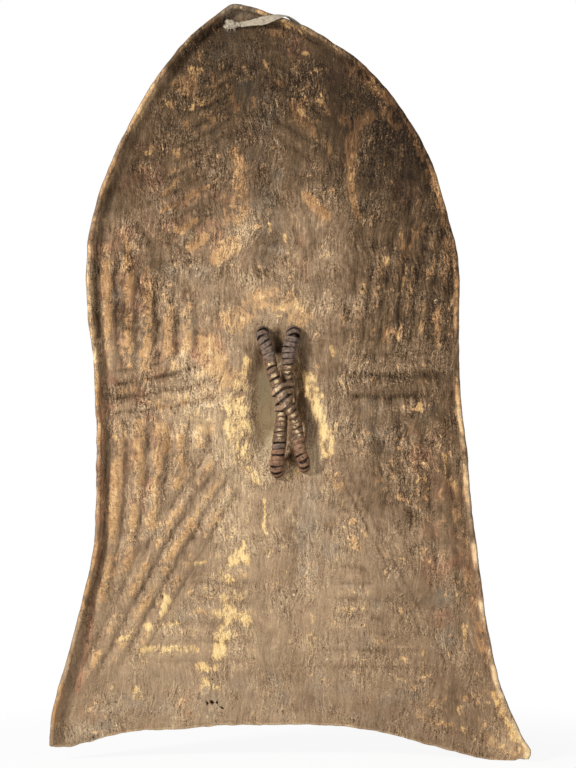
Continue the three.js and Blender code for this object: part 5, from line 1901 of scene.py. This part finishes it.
@dataclass
class HangingThong:
    """The pale strip tied through the hide and round its edge, with its frayed knot."""

    trees: StripTrees
    width: float = 0.0085
    wide: float = 0.0125
    wide_share: float = 0.86
    wide_reach_share: float = 0.05
    thickness: float = 0.0018
    rings: int = 320
    sides: int = 16
    flatness: float = 0.8
    tip_breadth: float = 0.72
    tip: Fade = Fade(0, 0.02, 0.28)
    ruffle: Lumps = Lumps(0.005, 4, 31)
    ruffle_spread: float = 0.02
    ruffle_share: float = 0.09
    fold: Lumps = Lumps(0.0022, 3, 32)
    fold_spread: float = 0.012
    fold_length_share: float = 0.35
    fold_height: float = 0.35 * MILLI
    knot_size: Colour = (0.020, 0.011, 0.014)
    knot_inset: Colour = (0.002, 0.002, 0.0015)
    knot_points: int = 200
    knot_stations: int = 320
    knot_hub: float = 1.45
    knot_strand: Strip = Strip(0.0052, 0.0034, 0.8 * MILLI, 0.4 * MILLI)
    knot_seed: int = 5
    knot_lumps: tuple[tuple[Colour, Colour], ...] = (
        ((0.0, 0.0, 0.0), (0.0064, 0.0040, 0.0048)),
        ((-0.0062, 0.0, 0.0042), (0.0038, 0.0030, 0.0032)),
        ((-0.0072, 0.0, -0.0030), (0.0044, 0.0030, 0.0034)),
        ((0.0092, -0.0010, 0.0), (0.0036, 0.0018, 0.0032)),
    )
    lump_surface: Lumps = Lumps(0.0024, 3, 29)
    lump_share: float = 0.5
    fibres: int = 44
    fibre_seed: int = 17
    fibre_length: float = 0.0075
    fibre_length_shares: tuple[float, float] = (0.3, 1.0)
    fibre_leans: tuple[float, float] = (-0.25, 0.05)
    fibre_rise: float = 0.85
    fibre_sags: tuple[float, float] = (-0.3, 0.7)
    fibre_radius: float = 0.00042
    fibre_taper: float = 0.75
    fibre_steps: int = 4
    fibre_sides: int = 4
    fibre_spread: Colour = (0.342, 0.18, 0.342)
    strip_side: float = 0.55

    def __post_init__(self) -> None:
        """Make the finish."""
        self.finish = ThongFinish().material()

    def strip(self) -> tuple[Piece, Array]:
        """Build the strip as a closed mesh round its route.

        Returns:
            The piece, and the centres of its rings.
        """
        both = spline(np.array([(*place, *(MILLI * axis for axis in face)) for place, face in THONG_ROUTE]))
        shares = np.linspace(0, 1, self.rings)
        run = along(both[:, :3])
        laid = np.stack([np.interp(shares * run[-1], run, column) for column in both.T], axis=1)
        centres, looks = laid[:, :3], laid[:, 3:]
        tangents = unit(np.gradient(centres, axis=0))
        looks = unit(looks - tangents * np.sum(looks * tangents, axis=1, keepdims=True))
        sideways = np.cross(tangents, looks)
        spread = np.exp(-(((shares - self.wide_share) / self.wide_reach_share) ** 2))
        half = (self.width + (self.wide - self.width) * spread) / 2
        half *= self.tip_breadth + self.tip.at(np.minimum(shares, 1 - shares))
        points, across = [], []
        for angle in np.linspace(0, TAU, self.sides, endpoint=False):
            edge = math.copysign(abs(math.cos(angle)) ** self.flatness, math.cos(angle))
            ruffle = self.ruffle.at(centres + sideways * edge * self.ruffle_spread)
            out = edge * half * (1 + self.ruffle_share * ruffle)
            fold = self.fold.at(centres * self.fold_length_share + sideways * edge * self.fold_spread)
            lift = math.sin(angle) * self.thickness / 2 + self.fold_height * fold
            points.append(centres + sideways * out[:, None] + looks * lift[:, None])
            across.append((edge + 1) / 2)
        grid = np.stack(points, axis=1).reshape(-1, 3)
        mesh = mesh_of("thong_strip", grid, tube_faces(self.rings, self.sides))
        give(mesh, "turn", np.repeat(shares * run[-1] / self.knot_strand.pitch, self.sides))
        give(mesh, "across", np.tile(across, self.rings))
        mesh.materials.append(self.finish)
        return new_piece("thong_strip", mesh), centres

    def knot(self) -> Piece:
        """Build the overhand knot that ties the strip's ends, over its hole on the bearer's side."""
        size = np.array(self.knot_size)
        x, _, z = THONG_ROUTE[0][0]
        centre = np.array([x, HIDE_FORM.face(x, z, Side.BEARER) - size[1] / 2, z])
        turn = np.linspace(0, TAU, self.knot_points, endpoint=False)
        radius = self.knot_hub + np.cos(3 * turn)
        path = np.stack([radius * np.cos(2 * turn), np.sin(3 * turn), radius * np.sin(2 * turn)], axis=1)
        path *= (size / 2 - np.array(self.knot_inset)) / (self.knot_hub + 1)
        line = StripLine(path + centre, outward=unit(path + np.array([0, -MILLI, 0])), closed=True)
        tied = line.piece(
            "thong_knot_tied", self.trees.laid, self.knot_strand, stations=self.knot_stations,
            seed=self.knot_seed, finish=self.finish,
        )
        self.fray(tied, centre)
        return tied

    def loose_fibres(self, centre: Array) -> tuple[list[Array], Faces]:
        """Draw the fibres that stick out of the knot, but not where the strip leaves it.

        Args:
            centre: The knot's middle.

        Returns:
            The points and faces of their thin tapered bars.
        """
        chance = np.random.default_rng(self.fibre_seed)
        steps, sides = self.fibre_steps, self.fibre_sides
        points, faces = [], []
        for _ in range(self.fibres):
            angle = chance.uniform(0, TAU)
            length = chance.uniform(*self.fibre_length_shares) * self.fibre_length
            lean = chance.uniform(*self.fibre_leans)
            way = np.array([math.cos(angle), lean, self.fibre_rise * math.sin(angle)])
            if way[0] > self.strip_side:
                continue
            start = centre + way * np.array(self.fibre_spread) * self.knot_size[0]
            sag = np.array([0.0, 0.0, -1.0]) * length * chance.uniform(*self.fibre_sags)
            faces += tube_faces(steps + 1, sides, len(points))
            for step in range(steps + 1):
                share = step / steps
                middle = start + way * length * share + sag * share**2
                radius = self.fibre_radius * (1 - self.fibre_taper * share)
                for turn in np.linspace(0, TAU, sides, endpoint=False):
                    out = (math.cos(turn) * way[2], math.sin(turn), -math.cos(turn) * way[0])
                    points.append(middle + radius * np.array(out))
        return points, faces

    def fray(self, knot: Piece, centre: Array) -> None:
        """Add loose fibres and packed lumps of strip to a knot round its centre."""
        points, faces = self.loose_fibres(centre)
        shape = bmesh.new()
        shape.from_mesh(knot.data)
        verts = [shape.verts.new(point) for point in points]
        for face in faces:
            shape.faces.new([verts[i] for i in face]).smooth = True
        for offset, size in self.knot_lumps:
            middle = Vector(centre + offset)
            lump = Matrix.Translation(middle) @ Matrix.Diagonal((*size, 1.0))
            verts = bmesh.ops.create_icosphere(shape, subdivisions=3, radius=1.0, matrix=lump)["verts"]
            uneven = self.lump_surface.at(np.array([vert.co for vert in verts]))
            for vert, share in zip(verts, uneven):
                vert.co += (vert.co - middle) * float(share) * self.lump_share
            for face in {face for vert in verts for face in vert.link_faces}:
                face.smooth = True
        bmesh.ops.recalc_face_normals(shape, faces=shape.faces[:])
        shape.to_mesh(knot.data)
        shape.free()

    def build(self) -> list[Piece]:
        """Build the thong and its knot and return them."""
        strip, centres = self.strip()
        knot = self.knot()
        fastened(strip, "hanging_thong")
        fastened(knot, "thong_knot")
        return [strip, knot]


@dataclass(frozen=True)
class Lamp:
    """A square soft lamp that looks at the grip."""

    place: Colour
    size: float
    power: float

    def hang(self, name: str) -> None:
        """Hang the lamp."""
        data = bpy.data.lights.new(name, "AREA")
        data.size = self.size
        data.energy = self.power
        lamp = bpy.data.objects.new(name, data)
        lamp.location = self.place
        lamp.rotation_euler = (-Vector(self.place)).to_track_quat("-Z", "Y").to_euler()
        bpy.context.scene.collection.objects.link(lamp)


@dataclass
class Studio:
    """A pale floor, soft lamps, an even world and the camera at the photograph's angle."""

    camera_distance: float = 5.0
    camera_reach: float = 60.0
    frame_height: float = 1.121
    frame_centre_pixels: Pixel = (288.0, 384.0)
    rim_plane: float = -0.035
    sensor: float = 36.0
    floor_size: float = 8.0
    floor_glow: float = 0.905
    floor_fade: Fade = Fade(0.35, 1.0)
    floor_grey: float = 0.93
    floor_roughness: float = 0.9
    world_level: float = 0.37
    key: Lamp = Lamp((-2.2, -2.5, 1.2), 0.5, 112.0)
    fill: Lamp = Lamp((2.2, -2.4, 0.6), 2.4, 8.0)

    def camera(self) -> Piece:
        """Place the camera straight before the bearer's side."""
        data = bpy.data.cameras.new("camera")
        data.sensor_width = self.sensor
        data.lens = self.sensor * self.camera_distance / self.frame_height
        data.clip_end = self.camera_reach
        camera = bpy.data.objects.new("camera", data)
        x, z = PHOTO.places((self.frame_centre_pixels,))[0]
        camera.location = (x, self.rim_plane - self.camera_distance, z)
        camera.rotation_euler = (math.pi / 2, 0, 0)
        bpy.context.scene.collection.objects.link(camera)
        bpy.context.scene.camera = camera
        return camera

    def world(self) -> None:
        """Light evenly from all round, and show white behind the object."""
        world = bpy.data.worlds.new("studio")
        bpy.context.scene.world = world
        world.use_nodes = True
        sheet = NodeSheet(world.node_tree)
        rays = sheet.node("ShaderNodeLightPath")
        camera, glass = sheet.signal(rays, "Is Camera Ray"), sheet.signal(rays, "Is Transmission Ray")
        level = sheet.maths("MAXIMUM", sheet.maths("MAXIMUM", camera, glass), self.world_level)
        light = sheet.made("ShaderNodeBackground", {"Color": (1.0, 1.0, 1.0, 1.0), "Strength": level})
        sheet.fill(sheet.node("ShaderNodeOutputWorld"), {0: light})

    def floor(self) -> Piece:
        """Lay the floor under the shield's lower tips."""
        half = self.floor_size / 2
        level = cad_bounds[0][2]
        corners = np.array([(-half, -half), (half, -half), (half, half), (-half, half)])
        points = np.insert(corners, 2, level, axis=1)
        floor = new_piece("floor", mesh_of("floor", points, [(0, 1, 2, 3)]))
        material, sheet, shader, place = new_material("pale_floor")
        shader.inputs["Base Color"].default_value = (self.floor_grey, self.floor_grey, self.floor_grey, 1)
        shader.inputs["Roughness"].default_value = self.floor_roughness
        shader.inputs["Specular IOR Level"].default_value = 0.0
        away = sheet.vector("LENGTH", sheet.vector("MULTIPLY", place, (1.0, 1.0, 0.0)))
        faded = away.fade(self.floor_fade) * (1 - self.floor_glow) + self.floor_glow
        share = faded * sheet.signal(sheet.node("ShaderNodeLightPath"), "Is Camera Ray")
        glow = sheet.made("ShaderNodeEmission", {"Strength": 1.0})
        mixed = sheet.made("ShaderNodeMixShader", {0: share, 1: sheet.signal(shader), 2: glow})
        output = next(node for node in sheet.tree.nodes if node.bl_idname == "ShaderNodeOutputMaterial")
        sheet.fill(output, {"Surface": mixed})
        floor.data.materials.append(material)
        return floor

    def build(self) -> None:
        """Set up everything round the object."""
        self.camera()
        self.world()
        self.key.hang("key")
        self.fill.hang("fill")
        self.floor()
        bpy.context.scene.view_settings.view_transform = "Standard"


def main() -> None:
    """Build the scene, one sub-assembly after another."""
    logging.basicConfig(level=logging.INFO, format="%(name)s: %(message)s")
    Studio().build()
    trees = StripTrees()
    pieces = [*HangingThong(trees).build(), *BoundGrip(trees).build(), *StopperKnots(trees).build()]
    pieces.append(MouldedHide(HIDE_FORM).build())
    for piece in pieces:
        piece.data.calc_loop_triangles()
        LOG.info("%s: %d triangles", piece.name, len(piece.data.loop_triangles))


if __name__ == "__main__":
    main()
